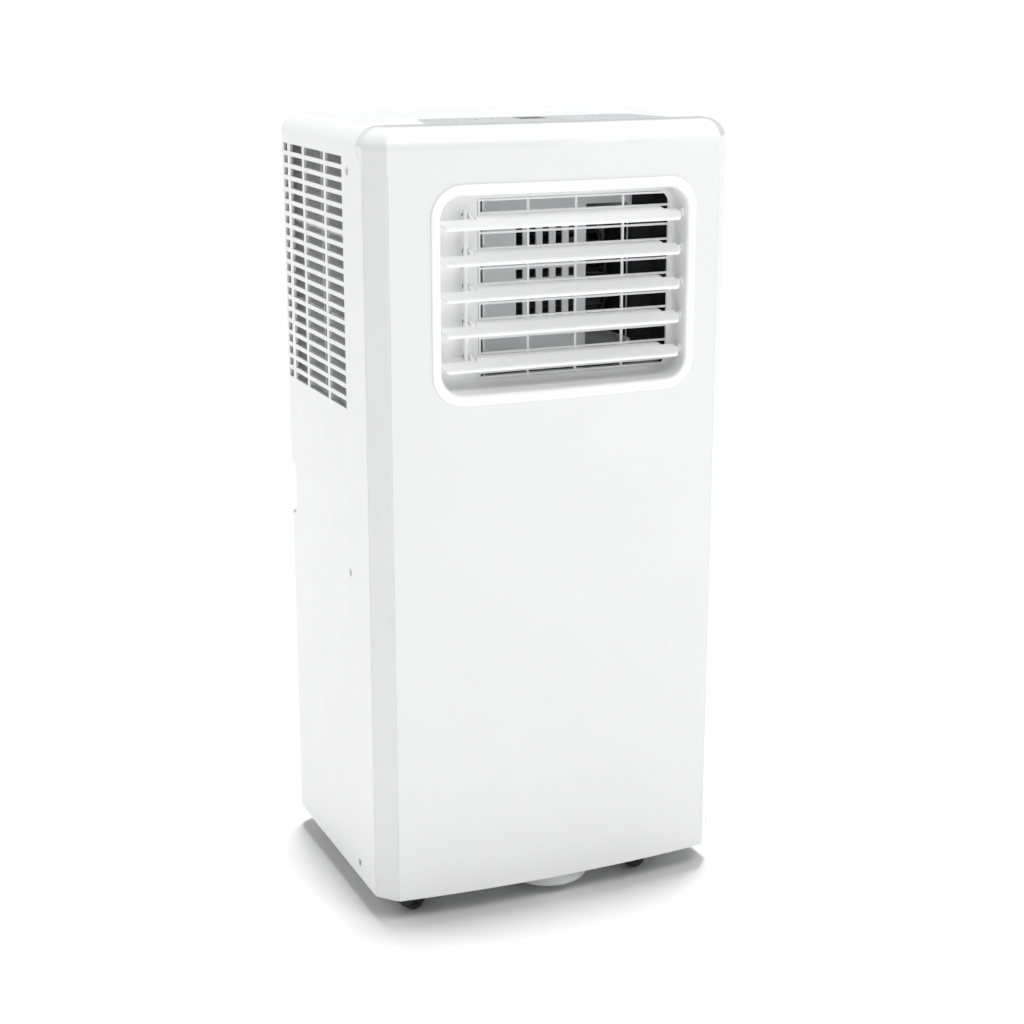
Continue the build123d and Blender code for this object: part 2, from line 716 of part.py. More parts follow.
def blower_scroll():
    """Scroll housing of the room-air blower, with an inlet in each side."""
    outer = side_prism(blower_outline(SCROLL_WALL), BLOWER_LEFT, BLOWER_RIGHT)
    inner = side_prism(
        blower_outline(0.0), BLOWER_LEFT + SCROLL_WALL, BLOWER_RIGHT - SCROLL_WALL
    )
    mouth = BACK_PLATE_Y + FRAME_WALL + FIT
    half = DUCT_HALF_Z + SCROLL_WALL
    flare = block(
        BLOWER_RIGHT - SCROLL_WALL, DUCT_RIGHT + SCROLL_WALL,
        mouth, mouth + FLARE_DEPTH, OUTLET_Z - half, OUTLET_Z + half,
    )
    opening = block(
        BLOWER_LEFT + SCROLL_WALL, DUCT_RIGHT,
        mouth - 1, mouth + FLARE_DEPTH - SCROLL_WALL, OUTLET_Z - DUCT_HALF_Z, OUTLET_Z + DUCT_HALF_Z,
    )
    inlets = rod_x(INLET_R, BLOWER_LEFT - 1, BLOWER_RIGHT + 1, BLOWER_Y, BLOWER_Z)
    return ((outer - inner - inlets) + flare - opening) + slot_guard()


def slot_guard():
    """Guard across the outlet duct: slots on the left, open in front of the wheel."""
    y0 = BACK_PLATE_Y + GUARD_PLATE_BACK
    y1 = y0 + GUARD_PLATE_T
    left, right = BLOWER_LEFT + SCROLL_WALL / 2, BLOWER_RIGHT - SCROLL_WALL / 2
    half = DUCT_HALF_Z - GUARD_BAND
    low, high = OUTLET_Z - DUCT_HALF_Z, OUTLET_Z + DUCT_HALF_Z
    plate = block(left, right, y0, y1, low, high)
    cuts = [block(*GUARD_OPEN, y0 - 1, y1 + 1, OUTLET_Z - half, OUTLET_Z + half)]
    for i in range(SLOT_GRID_COUNT):
        x = SLOT_GRID_LEFT + i * SLOT_GRID_PITCH
        for z0, z1 in ((-42, -6), (2, 10), (18, 52)):
            cuts.append(block(x, x + SLOT_GRID_SLOT, y0 - 1, y1 + 1, OUTLET_Z + z0, OUTLET_Z + z1))
    return plate - cuts


def blower_wheel():
    """Drum wheel of the room-air blower."""
    length = BLOWER_RIGHT - BLOWER_LEFT - 2 * SCROLL_WALL - 10
    wheel = drum_wheel(BLOWER_WHEEL_R, length, BLOWER_BLADES, BLOWER_BLADE_T, 10.0, SHAFT_R)
    return Pos((BLOWER_LEFT + BLOWER_RIGHT) / 2, BLOWER_Y, BLOWER_Z) * Rot(0, 90, 0) * wheel


def blower_shaft():
    """Shaft of the room-air blower, from its motor through the wheel's hub."""
    x0 = BLOWER_LEFT - BLOWER_MOTOR_L + 8
    x1 = (BLOWER_LEFT + BLOWER_RIGHT) / 2
    return rod_x(SHAFT_R, x0, x1, BLOWER_Y, BLOWER_Z)


def blower_motor():
    """Motor on three arms over the left inlet."""
    x1 = BLOWER_LEFT - 4
    x0 = x1 - BLOWER_MOTOR_L + 6
    body = rod_x(BLOWER_MOTOR_R, x0, x1, BLOWER_Y, BLOWER_Z)
    body = fillet(body.edges().filter_by(GeomType.CIRCLE), 4)
    arms = []
    for i in range(3):
        arm = Pos(x1 + 1, 0, 0) * Box(6, 6, 58, align=(Align.CENTER, Align.CENTER, Align.MIN))
        arms.append(Pos(0, BLOWER_Y, BLOWER_Z) * Rot(120 * i + 30, 0, 0) * arm)
    face = block(BLOWER_LEFT, BLOWER_LEFT + 10, BLOWER_Y - 80, BLOWER_Y + 80, BLOWER_Z - 80, BLOWER_Z + 80)
    motor = (fuse([body] + arms)) - face
    return motor - rod_x(SHAFT_R + RUN, x0 + 4, x1 + 10, BLOWER_Y, BLOWER_Z)


# ---- coils --------------------------------------------------------------
def coil_rows(low, high, rows):
    """Heights of the tube rows of a coil."""
    step = (high - low) / rows
    return [low + step * (i + 0.5) for i in range(rows)]


def half_bend(radius, tube):
    """Half ring in the XZ plane that opens to -Y."""
    ring = Torus(radius, tube)
    half = ring - Pos(0, -radius, 0) * Box(4 * radius, 2 * radius, 4 * tube)
    return half


def evaporator_fins(side):
    """Fin pack behind one side intake."""
    pack = finned_block(
        COIL_REAR - COIL_FRONT, COIL_OUT - COIL_IN, COIL_HIGH - COIL_LOW, FIN_PITCH, FIN_GAP, FIN_DEPTH
    )
    middle = side * (COIL_IN + COIL_OUT) / 2
    return Pos(middle, (COIL_FRONT + COIL_REAR) / 2, (COIL_LOW + COIL_HIGH) / 2) * Rot(0, 0, 90) * pack


def evaporator_coil(side):
    """Fin pack with its return bends: all rows at the rear, inner rows at the front."""
    x = side * (COIL_IN + COIL_OUT) / 2
    rows = coil_rows(COIL_LOW, COIL_HIGH, EVAPORATOR_ROWS)
    solids = [evaporator_fins(side)]
    for y, turn, first in ((COIL_REAR, 0, 0), (COIL_FRONT, 180, 1)):
        for low, high in zip(rows[first::2], rows[first + 1::2]):
            bend = half_bend((high - low) / 2, TUBE_R)
            solids.append(Pos(x, y, (low + high) / 2) * Rot(0, 0, turn) * Rot(0, 90, 0) * bend)
    return group(solids)


def condenser_fins():
    """Fin pack behind the rear intake."""
    y0, y1 = CONDENSER_Y
    z0, z1 = CONDENSER_Z
    pack = finned_block(2 * CONDENSER_HALF, y1 - y0, z1 - z0, FIN_PITCH, FIN_GAP, FIN_DEPTH)
    return Pos(0, (y0 + y1) / 2, (z0 + z1) / 2) * pack


def condenser_coil():
    """Condenser fin pack with the return bends at its two ends."""
    y = sum(CONDENSER_Y) / 2
    rows = coil_rows(*CONDENSER_Z, CONDENSER_ROWS)
    solids = [condenser_fins()]
    for side, first in ((1, 0), (-1, 1)):
        for low, high in zip(rows[first::2], rows[first + 1::2]):
            bend = Rot(0, 0, -90 * side) * (Rot(0, 90, 0) * half_bend((high - low) / 2, TUBE_R))
            solids.append(Pos(side * CONDENSER_HALF, y, (low + high) / 2) * bend)
    return group(solids)


# ---- filters ------------------------------------------------------------
def filter_spans(side):
    """Outer box of a filter frame, as sorted x plus y and z limits."""
    x0, x1 = sorted((side * FILTER_IN, side * (FILTER_IN + FILTER_T)))
    return x0, x1, FILTER_FRONT, REAR_Y, FILTER_LOW, FILTER_HIGH


def filter_frame(side):
    """Frame with cross ribs, a pull tab and a groove for the net."""
    x0, x1, y0, y1, z0, z1 = filter_spans(side)
    frame = block(x0, x1, y0, y1, z0, z1)
    open_rear = COIL_REAR + 10
    frame = frame - block(
        x0 - 1, x1 + 1, y0 + FILTER_BORDER, open_rear, z0 + FILTER_BORDER, z1 - FILTER_BORDER
    )
    ribs = []
    step = (z1 - z0 - 2 * FILTER_BORDER) / (FILTER_RIBS + 1)
    for i in range(FILTER_RIBS):
        z = z0 + FILTER_BORDER + step * (i + 1)
        ribs.append(
            block(x0, x1, y0 + FILTER_BORDER - 1, open_rear + 1, z - FILTER_RIB / 2, z + FILTER_RIB / 2)
        )
    middle = (z0 + z1) / 2
    tab = block(x0 + 1, x1 - 1, y1 - 2, y1 + FILTER_TAB, middle - 18, middle + 18)
    tab = fillet(tab.edges().filter_by(Axis.X).group_by(Axis.Y)[-1], 5)
    frame = frame + ribs + tab
    groove = block(
        side * (FILTER_IN + FILTER_T / 2) - MESH_T / 2 - 0.05,
        side * (FILTER_IN + FILTER_T / 2) + MESH_T / 2 + 0.05,
        y0 + FILTER_BORDER - 3, open_rear + 3, z0 + FILTER_BORDER - 3, z1 - FILTER_BORDER + 3,
    )
    return frame - groove


def filter_mesh(side):
    """Fine net held in the frame's groove."""
    _, _, y0, _, z0, z1 = filter_spans(side)
    middle = side * (FILTER_IN + FILTER_T / 2)
    return block(
        middle - MESH_T / 2, middle + MESH_T / 2,
        y0 + FILTER_BORDER - 2.8, COIL_REAR + 12.8, z0 + FILTER_BORDER - 2.8, z1 - FILTER_BORDER + 2.8,
    )


def air_filter(side):
    """Frame and net of one filter; it slides out to the rear."""
    return group([filter_frame(side), filter_mesh(side)])


# ---- trays --------------------------------------------------------------
def middle_tray():
    """Tray under the evaporators, with a drain spout through the rear wall."""
    high = TRAY_LOW + TRAY_RIM
    tray = block(-TRAY_HALF, TRAY_HALF, TRAY_FRONT, TRAY_REAR, TRAY_LOW, high)
    tray = fillet(tray.edges().filter_by(Axis.Z), TRAY_ROUND)
    hollow = block(
        -TRAY_HALF + WALL, TRAY_HALF - WALL, TRAY_FRONT + WALL, TRAY_REAR - WALL,
        TRAY_LOW + TRAY_FLOOR, high + 1,
    )
    hollow = fillet(hollow.edges().filter_by(Axis.Z), TRAY_ROUND - WALL)
    tray = tray - hollow
    necks = [rod_z(PIPE_HOLE_R + 2, TRAY_LOW + 1, high, *place) for place in (SUCTION_HOLE, LIQUID_HOLE)]
    rests = []
    for side in (-1, 1):
        for y in (COIL_FRONT + 6, COIL_REAR - 14):
            x0, x1 = sorted((side * COIL_IN, side * COIL_OUT))
            rests.append(block(x0, x1, y, y + 8, TRAY_LOW + 1, COIL_LOW))
    spout = rod_y(SPOUT_R, TRAY_REAR - 1, REAR_Y + SPOUT_REACH, DRAIN_X, DRAIN_MID_Z)
    tray = tray + rests + necks + spout
    for x, y in (SUCTION_HOLE, LIQUID_HOLE):
        tray = tray - rod_z(PIPE_HOLE_R, TRAY_LOW - 1, high + 1, x, y)
    return tray - rod_y(SPOUT_BORE, TRAY_REAR - 5, REAR_Y + SPOUT_REACH + 1, DRAIN_X, DRAIN_MID_Z)


def caster_places():
    """(name, x, y) of the four casters."""
    names = {(-1, 0): "front_left", (1, 0): "front_right", (-1, 1): "rear_left", (1, 1): "rear_right"}
    return [
        (names[side, row], side * CASTER_X, CASTER_Y[row]) for side in (-1, 1) for row in (0, 1)
    ]


def compressor_feet():
    """(x, y) of the three compressor feet."""
    feet = []
    for i in range(3):
        angle = math.radians(FOOT_TURN + 120 * i)
        feet.append(
            (COMPRESSOR_X + FOOT_R * math.cos(angle), COMPRESSOR_Y + FOOT_R * math.sin(angle))
        )
    return feet


def base_pan():
    """Pan that carries everything, with caster sockets, sump and drain spout."""
    high = PAN_LOW + PAN_RIM
    pan = block(-PAN_HALF, PAN_HALF, PAN_FRONT, PAN_REAR, PAN_LOW, high)
    pan = fillet(pan.edges().filter_by(Axis.Z), PAN_ROUND)
    hollow = block(
        -PAN_HALF + WALL, PAN_HALF - WALL, PAN_FRONT + WALL, PAN_REAR - WALL,
        PAN_LOW + PAN_FLOOR, high + 1,
    )
    hollow = fillet(hollow.edges().filter_by(Axis.Z), PAN_ROUND - WALL)
    pan = pan - hollow
    pan = pan - rod_z(SUMP_R + FIT, PAN_LOW - 1, PAN_LOW + PAN_FLOOR + 1, SUMP_X, SUMP_Y)
    bosses = [rod_z(BOSS_R, PAN_LOW + 1, STEM_TOP + 3, x, y) for _, x, y in caster_places()]
    sockets = [
        rod_z(STEM_R + RUN, PAN_LOW - 1, STEM_TOP + 0.5, x, y) for _, x, y in caster_places()
    ]
    spout = rod_y(SPOUT_R, PAN_REAR - 1, REAR_Y + SPOUT_REACH, DRAIN_X, DRAIN_LOW_Z)
    posts = []
    for x in (-CONDENSER_HALF + 10, CONDENSER_HALF - 10):
        posts.append(block(x - 6, x + 6, *CONDENSER_Y, PAN_LOW + 1, CONDENSER_Z[0]))
    pan = pan + [spout] + bosses + posts
    pan = pan - sockets
    pan = pan - rod_y(SPOUT_BORE, PAN_REAR - 5, REAR_Y + SPOUT_REACH + 1, DRAIN_X, DRAIN_LOW_Z)
    return group([pan, sump_cup()])


def sump_cup():
    """Sump cup that hangs by its rim in the floor of the pan."""
    top = PAN_LOW + PAN_FLOOR
    cup = rod_z(SUMP_R, SUMP_LOW, top + SUMP_RIM_T, SUMP_X, SUMP_Y)
    cup = fillet(cup.edges().group_by(Axis.Z)[0], SUMP_ROUND)
    rim = rod_z(SUMP_R + SUMP_RIM, top, top + SUMP_RIM_T, SUMP_X, SUMP_Y)
    rim = rim & block(-PAN_HALF, PAN_HALF, PAN_FRONT + WALL + FIT, PAN_REAR, SUMP_LOW, top + SUMP_RIM_T)
    well = rod_z(SUMP_R - WALL, SUMP_LOW + WALL, top + SUMP_RIM_T + 1, SUMP_X, SUMP_Y)
    return (cup + rim) - well


def drain_cap(z):
    """Rubber cap pressed over a drain spout."""
    y0 = REAR_Y + 0.8
    y1 = REAR_Y + SPOUT_REACH + 2.5
    cap = rod_y(CAP_R, y0, y1, DRAIN_X, z)
    cap = fillet(cap.edges().filter_by(GeomType.CIRCLE).sort_by(Axis.Y)[-1], 1.2)
    bore = rod_y(SPOUT_R + RUN, y0 - 1, REAR_Y + SPOUT_REACH + 0.3, DRAIN_X, z)
    pull = block(DRAIN_X - 4, DRAIN_X + 4, y1 - 0.5, y1 + 3.5, z - 1, z + 1)
    return (cap - bore) + pull


def cord_bush():
    """Inlet bush for the supply cord."""
    neck = rod_y(BUSH_R, INNER_REAR - 4, REAR_Y + BUSH_REACH, CORD_X, CORD_Z)
    flange = rod_y(BUSH_FLANGE_R, REAR_Y, REAR_Y + 2.5, CORD_X, CORD_Z)
    bore = rod_y(BUSH_BORE, INNER_REAR - 5, REAR_Y + BUSH_REACH + 1, CORD_X, CORD_Z)
    return (neck + flange) - bore


# ---- condenser blower ---------------------------------------------------
def fan_outline(grow):
    """(x, z) outline of the condenser scroll, open upward."""
    start, sweep = 30.0, -210.0
    points = spiral((FAN_X, FAN_Z), FAN_R0 + grow, FAN_R1 + grow, start, sweep)
    left = points[-1][0]
    right = DUCT_HALF - SCROLL_WALL + grow
    edges = [
        Spline(points, tangents=[(1, -1.7), (0, 1)]),
        Line(points[-1], (left, FAN_TOP)),
        Line((left, FAN_TOP), (right, FAN_TOP)),
        Line((right, FAN_TOP), points[0]),
    ]
    return make_face(edges)


def fan_prism(grow, y0, y1):
    """Condenser scroll outline extruded from y0 to y1."""
    solid = extrude(Plane.XZ * fan_outline(grow), amount=y1 - y0)
    return Pos(0, y1, 0) * solid


def fan_scroll():
    """Scroll housing of the condenser blower: inlet to the rear, outlet on top."""
    outer = fan_prism(SCROLL_WALL, FAN_FRONT, FAN_REAR)
    inner = fan_prism(0.0, FAN_FRONT + SCROLL_WALL, FAN_REAR - SCROLL_WALL)
    scroll = outer - inner
    inlet = rod_y(FAN_INLET_R, FAN_REAR - 3, FAN_REAR + 1, FAN_X, FAN_Z)
    hub = rod_y(12, FAN_FRONT - 1, FAN_FRONT + 3, FAN_X, FAN_Z)
    mouth_left = FAN_X - FAN_R1
    mouth = block(
        mouth_left, DUCT_HALF - SCROLL_WALL,
        FAN_FRONT + SCROLL_WALL, FAN_REAR - SCROLL_WALL, FAN_TOP - 3, FAN_TOP + 1,
    )
    return scroll - inlet - hub - mouth


def fan_wheel():
    """Drum wheel of the condenser blower."""
    wheel = drum_wheel(FAN_WHEEL_R, FAN_WHEEL_L, FAN_BLADES, BLOWER_BLADE_T, 10.0, SHAFT_R)
    middle = (FAN_FRONT + FAN_REAR) / 2
    return Pos(FAN_X, middle, FAN_Z) * Rot(-90, 0, 0) * wheel


def fan_shaft():
    """Shaft from the condenser motor through the wheel's hub."""
    middle = (FAN_FRONT + FAN_REAR) / 2
    return rod_y(SHAFT_R, FAN_FRONT - FAN_MOTOR_L + 6, middle, FAN_X, FAN_Z)


def fan_motor():
    """Condenser blower motor, flanged to the front of the scroll."""
    y1 = FAN_FRONT
    y0 = y1 - FAN_MOTOR_L
    body = rod_y(FAN_MOTOR_R, y0, y1 - 3, FAN_X, FAN_Z)
    body = fillet(body.edges().filter_by(GeomType.CIRCLE), 4)
    flange = rod_y(FAN_MOTOR_R + 6, y1 - 5, y1, FAN_X, FAN_Z)
    return (body + flange) - rod_y(SHAFT_R + RUN, y0 + 4, y1 + 1, FAN_X, FAN_Z)


def exhaust_duct():
    """Box duct from the condenser scroll up and back to the exhaust collar."""
    left = FAN_X - FAN_R1 - SCROLL_WALL
    right = DUCT_HALF
    rear = INNER_REAR - FIT
    outer = block(left, right, FAN_FRONT, rear, FAN_TOP, DUCT_TOP)
    inner = block(
        left + SCROLL_WALL, right - SCROLL_WALL,
        FAN_FRONT + SCROLL_WALL, rear - SCROLL_WALL,
        FAN_TOP + SCROLL_WALL, DUCT_TOP - SCROLL_WALL,
    )
    mouth = block(
        left + SCROLL_WALL, right - SCROLL_WALL,
        FAN_FRONT + SCROLL_WALL, FAN_REAR - SCROLL_WALL, FAN_TOP - 1, FAN_TOP + SCROLL_WALL + 1,
    )
    outlet = rod_y(EXHAUST_R, rear - 5, rear + 1, 0, EXHAUST_Z)
    return outer - inner - mouth - outlet


# ---- compressor ---------------------------------------------------------
def compressor():
    """Hermetic compressor with its foot plate and top studs."""
    foot_z = PAN_LOW + PAN_FLOOR + GROMMET_H
    low = foot_z + FOOT_T
    shell = rod_z(COMPRESSOR_R, low, low + COMPRESSOR_H, COMPRESSOR_X, COMPRESSOR_Y)
    shell = fillet(shell.edges().filter_by(GeomType.CIRCLE), 20)
    feet = []
    for x, y in compressor_feet():
        feet.append(rod_z(GROMMET_R + 2, foot_z, low, x, y))
    plate = rod_z(COMPRESSOR_R - 6, foot_z, low + 2, COMPRESSOR_X, COMPRESSOR_Y)
    arms = []
    for i in range(3):
        arm = Box(FOOT_R, 14, FOOT_T, align=(Align.MIN, Align.CENTER, Align.MIN))
        arms.append(Pos(COMPRESSOR_X, COMPRESSOR_Y, foot_z) * Rot(0, 0, FOOT_TURN + 120 * i) * arm)
    top = low + COMPRESSOR_H
    dome = rod_z(16, top - 2, top + 12, COMPRESSOR_X, COMPRESSOR_Y)
    dome = fillet(dome.edges().sort_by(Axis.Z)[-1], 4)
    body = fuse([shell, plate, dome] + feet + arms)
    return body - [rod_z(4.2, foot_z - 1, low + 1, x, y) for x, y in compressor_feet()]


def compressor_grommets():
    """Rubber mounts under the three compressor feet."""
    z0 = PAN_LOW + PAN_FLOOR
    parts = []
    for x, y in compressor_feet():
        ring = rod_z(GROMMET_R, z0, z0 + GROMMET_H, x, y)
        parts.append(ring - rod_z(4.2, z0 - 1, z0 + GROMMET_H + 1, x, y))
    return group(parts)


def compressor_bolts():
    """Bolts through the grommets and feet."""
    z0 = PAN_LOW + PAN_FLOOR
    top = z0 + GROMMET_H + FOOT_T
    bolts = []
    for x, y in compressor_feet():
        shank = rod_z(3.9, z0, top + 0.5, x, y)
        head = extrude(Pos(x, y, top) * RegularPolygon(6.5, 6), amount=5)
        bolts.append(shank + head)
    return group(bolts)


# ---- splash wheel -------------------------------------------------------
def splash_wheel():
    """Paddled disc on its shaft, which throws condensate onto the condenser."""
    disc = Cylinder(SPLASH_R - 5, SPLASH_T)
    paddles = []
    for i in range(12):
        paddle = Pos(SPLASH_R - 5, 0, 0) * Box(10, 4, SPLASH_T)
        paddles.append(Rot(0, 0, 30 * i) * paddle)
    hub = Cylinder(5, SPLASH_T + 6)
    wheel = fuse([disc, hub] + paddles)
    shaft = rod_x(SPLASH_SHAFT_R, SPLASH_X - 22, SPLASH_X, SPLASH_Y, SPLASH_Z)
    return Pos(SPLASH_X, SPLASH_Y, SPLASH_Z) * Rot(0, 90, 0) * wheel + shaft


def splash_motor():
    """Small motor on a foot in the base pan."""
    x1 = SPLASH_X - 7
    x0 = x1 - SPLASH_MOTOR_L
    body = rod_x(SPLASH_MOTOR_R, x0, x1, SPLASH_Y, SPLASH_Z)
    body = fillet(body.edges().filter_by(GeomType.CIRCLE), 2)
    foot = block(x0 + 4, x1 - 4, SPLASH_Y - 10, SPLASH_Y + 10, PAN_LOW + PAN_FLOOR, SPLASH_Z - 8)
    return (body + foot) - rod_x(SPLASH_SHAFT_R + RUN, x1 - 16, x1 + 1, SPLASH_Y, SPLASH_Z)


# ---- electrics ----------------------------------------------------------
def electrical_box():
    """Open tray of the electrical compartment."""
    box = block(*EBOX_X, *EBOX_Y, *EBOX_Z)
    t = EBOX_WALL
    hollow = block(
        EBOX_X[0] + t, EBOX_X[1] - t, EBOX_Y[0] - 1, EBOX_Y[1] - t, EBOX_Z[0] + t, EBOX_Z[1] - t
    )
    gland = rod_y(7, EBOX_Y[1] - 5, EBOX_Y[1] + 1, EBOX_X[1] - 16, EBOX_Z[0] + 16)
    return box - hollow - gland


def electrical_cover():
    """Sheet cover over the front of the electrical box."""
    y1 = EBOX_Y[0]
    return block(*EBOX_X, y1 - 1.5, y1, *EBOX_Z)


def capacitor():
    """Run capacitor standing in the electrical box."""
    x = EBOX_X[0] + EBOX_WALL + CAPACITOR_R + 3
    y = (EBOX_Y[0] + EBOX_Y[1]) / 2
    z0 = EBOX_Z[0] + EBOX_WALL
    can = rod_z(CAPACITOR_R, z0, z0 + CAPACITOR_H, x, y)
    top = z0 + CAPACITOR_H
    lugs = [block(x + dx - 1, x + dx + 1, y - 3, y + 3, top - 1, top + 7) for dx in (-6, 6)]
    return can + lugs


def power_board():
    """Power board on the back wall of the electrical box."""
    y1 = EBOX_Y[1] - EBOX_WALL
    x0, x1 = EBOX_X[0] + 8, EBOX_X[1] - 8
    z0, z1 = EBOX_Z[0] + CAPACITOR_H + 16, EBOX_Z[1] - 8
    board = block(x0, x1, y1 - 4 - BOARD_T, y1 - 4, z0, z1)
    posts = []
    for x in (x0 + 5, x1 - 5):
        for z in (z0 + 5, z1 - 5):
            posts.append(rod_y(2.5, y1 - 4.5, y1, x, z))
    top = y1 - 4 - BOARD_T
    relays = []
    for i in range(3):
        x = x0 + 10 + 20 * i
        relays.append(block(x, x + 16, top - 16, top + 0.5, z0 + 10, z0 + 28))
    coil = block(x0 + 40, x0 + 70, top - 22, top + 0.5, z0 + 36, z0 + 62)
    return fuse([board, coil] + posts + relays)


# ---- refrigerant pipes --------------------------------------------------
def pipe(points, radius):
    """Round tube along straight runs joined by arcs."""
    path = FilletPolyline(*points, radius=PIPE_BEND)
    profile = Plane(origin=path @ 0, z_dir=path % 0) * Circle(radius)
    return sweep(profile, path=path)


def refrigerant_pipes():
    """Discharge pipe, suction pipe with its accumulator, and liquid pipe."""
    coil_x = (COIL_IN + COIL_OUT) / 2
    row_z = coil_rows(COIL_LOW, COIL_HIGH, EVAPORATOR_ROWS)[0]
    condenser_y = sum(CONDENSER_Y) / 2
    condenser_row = coil_rows(*CONDENSER_Z, CONDENSER_ROWS)[-1]
    top = PAN_LOW + PAN_FLOOR + GROMMET_H + FOOT_T + COMPRESSOR_H
    start_x = COMPRESSOR_X + 22
    end_x = 8 - CONDENSER_HALF
    discharge = pipe(
        [
            (start_x, COMPRESSOR_Y, top),
            (start_x, COMPRESSOR_Y, DISCHARGE_Z),
            (end_x, COMPRESSOR_Y, DISCHARGE_Z),
            (end_x, condenser_y, DISCHARGE_Z),
            (end_x, condenser_y, CONDENSER_Z[1]),
        ],
        PIPE_R,
    )
    can_x = COMPRESSOR_X + COMPRESSOR_R + ACCUMULATOR_R + 4
    can_y = COMPRESSOR_Y - 22
    can_top = ACCUMULATOR_LOW + ACCUMULATOR_H
    can = rod_z(ACCUMULATOR_R, ACCUMULATOR_LOW, can_top, can_x, can_y)
    can = fillet(can.edges().filter_by(GeomType.CIRCLE), 9)
    hole_x, hole_y = SUCTION_HOLE
    suction = pipe(
        [
            (can_x, can_y, can_top - 1),
            (can_x, can_y, PIPE_CROSS_Z),
            (hole_x, hole_y, PIPE_CROSS_Z),
            (hole_x, hole_y, row_z),
            (-coil_x, hole_y, row_z),
            (-coil_x, COIL_FRONT, row_z),
        ],
        PIPE_R,
    )
    hole_x, hole_y = LIQUID_HOLE
    ahead = SUCTION_HOLE[1] + 4
    liquid = pipe(
        [
            (CONDENSER_HALF, condenser_y, condenser_row),
            (CONDENSER_HALF + 20, condenser_y, condenser_row),
            (CONDENSER_HALF + 20, hole_y, condenser_row),
            (hole_x, hole_y, condenser_row + 60),
            (hole_x, hole_y, row_z),
            (hole_x, ahead, row_z),
            (coil_x, ahead, row_z),
            (coil_x, COIL_FRONT, row_z),
        ],
        LIQUID_R,
    )
    return group([discharge, can + suction, liquid])


# ---- controls -----------------------------------------------------------
def button_places():
    """(x, y) of the seven buttons."""
    return [(PANEL_X + offset_x, BUTTON_ROW_Y) for offset_x in BUTTON_OFFSETS]


def inlay_face(grow):
    """Outline of the control inlay in plan."""
    face = Polygon(
        (PANEL_X - PANEL_FRONT_HALF, PANEL_FRONT_Y),
        (PANEL_X + PANEL_FRONT_HALF, PANEL_FRONT_Y),
        (PANEL_X + PANEL_REAR_HALF, PANEL_REAR_Y),
        (PANEL_X - PANEL_REAR_HALF, PANEL_REAR_Y),
        align=None,
    )
    face = fillet(face.vertices(), 5)
    return offset(face, amount=grow) if grow else face


def button_hole(x, y, z0, z1):
    """Clearance hole for one button."""
    face = SlotOverall(BUTTON_LENGTH + 2 * FIT, BUTTON_WIDTH + 2 * FIT)
    return Pos(x, y, z0) * extrude(face, amount=z1 - z0)


def display_block(grow, z0, z1):
    """Display window space."""
    x, y = PANEL_X - 3, DISPLAY_Y
    return block(
        x - DISPLAY_LENGTH / 2 - grow, x + DISPLAY_LENGTH / 2 + grow,
        y - DISPLAY_WIDTH / 2 - grow, y + DISPLAY_WIDTH / 2 + grow, z0, z1,
    )


def top_cover():
    """Flat lid of the casing, with the recess of the control inlay."""
    plate = block(-COVER_HALF, COVER_HALF, TOP_SEAM_Y + SEAM_GAP / 2, COVER_REAR, HEIGHT - WALL, HEIGHT)
    recess = Pos(0, 0, HEIGHT - INLAY_T) * extrude(inlay_face(0.15), amount=INLAY_T + 1)
    plate = plate - recess
    holes = [button_hole(x, y, HEIGHT - 5, HEIGHT + 1) for x, y in button_places()]
    plate = plate - holes - display_block(FIT, HEIGHT - 5, HEIGHT + 1)
    posts = []
    for x in (PANEL_X - 96, PANEL_X + 78):
        for y in (PANEL_FRONT_Y + 10, PANEL_REAR_Y - 6):
            posts.append(rod_z(3, HEIGHT - BUTTON_STEM - 4, HEIGHT - WALL + 0.5, x, y))
    return plate + posts


def control_inlay():
    """Thin front foil of the controls, flush in the lid."""
    plate = Pos(0, 0, HEIGHT - INLAY_T) * extrude(inlay_face(0.0), amount=INLAY_T)
    holes = [button_hole(x, y, HEIGHT - 5, HEIGHT + 1) for x, y in button_places()]
    return plate - holes - display_block(FIT, HEIGHT - 5, HEIGHT + 1)


def display_window():
    """Dark window over the display digits."""
    return display_block(0.0, HEIGHT - DISPLAY_T, HEIGHT)


def button(x, y):
    """One sprung key with its stem."""
    cap = extrude(SlotOverall(BUTTON_LENGTH, BUTTON_WIDTH), amount=BUTTON_PROUD + WALL)
    cap = fillet(cap.edges().group_by(Axis.Z)[-1], 0.3)
    stem = Pos(0, 0, -BUTTON_STEM / 2 + WALL) * Box(3, 3, BUTTON_STEM)
    return Pos(x, y, HEIGHT - WALL) * (cap + (stem - Pos(0, 0, WALL + 1) * Box(9, 9, 2)))


def control_board():
    """Control board under the lid with a switch below each button."""
    top = HEIGHT - BUTTON_STEM - 4
    board = block(
        PANEL_X - 100, PANEL_X + 84, PANEL_FRONT_Y + 4, PANEL_REAR_Y - 2, top - BOARD_T, top
    )
    switch_top = HEIGHT - BUTTON_STEM - BUTTON_TRAVEL - 0.4
    switches = [block(x - 3, x + 3, y - 3, y + 3, top - 0.5, switch_top) for x, y in button_places()]
    display = display_block(-1.0, top - 0.5, HEIGHT - DISPLAY_T - FIT)
    return fuse([board, display] + switches)


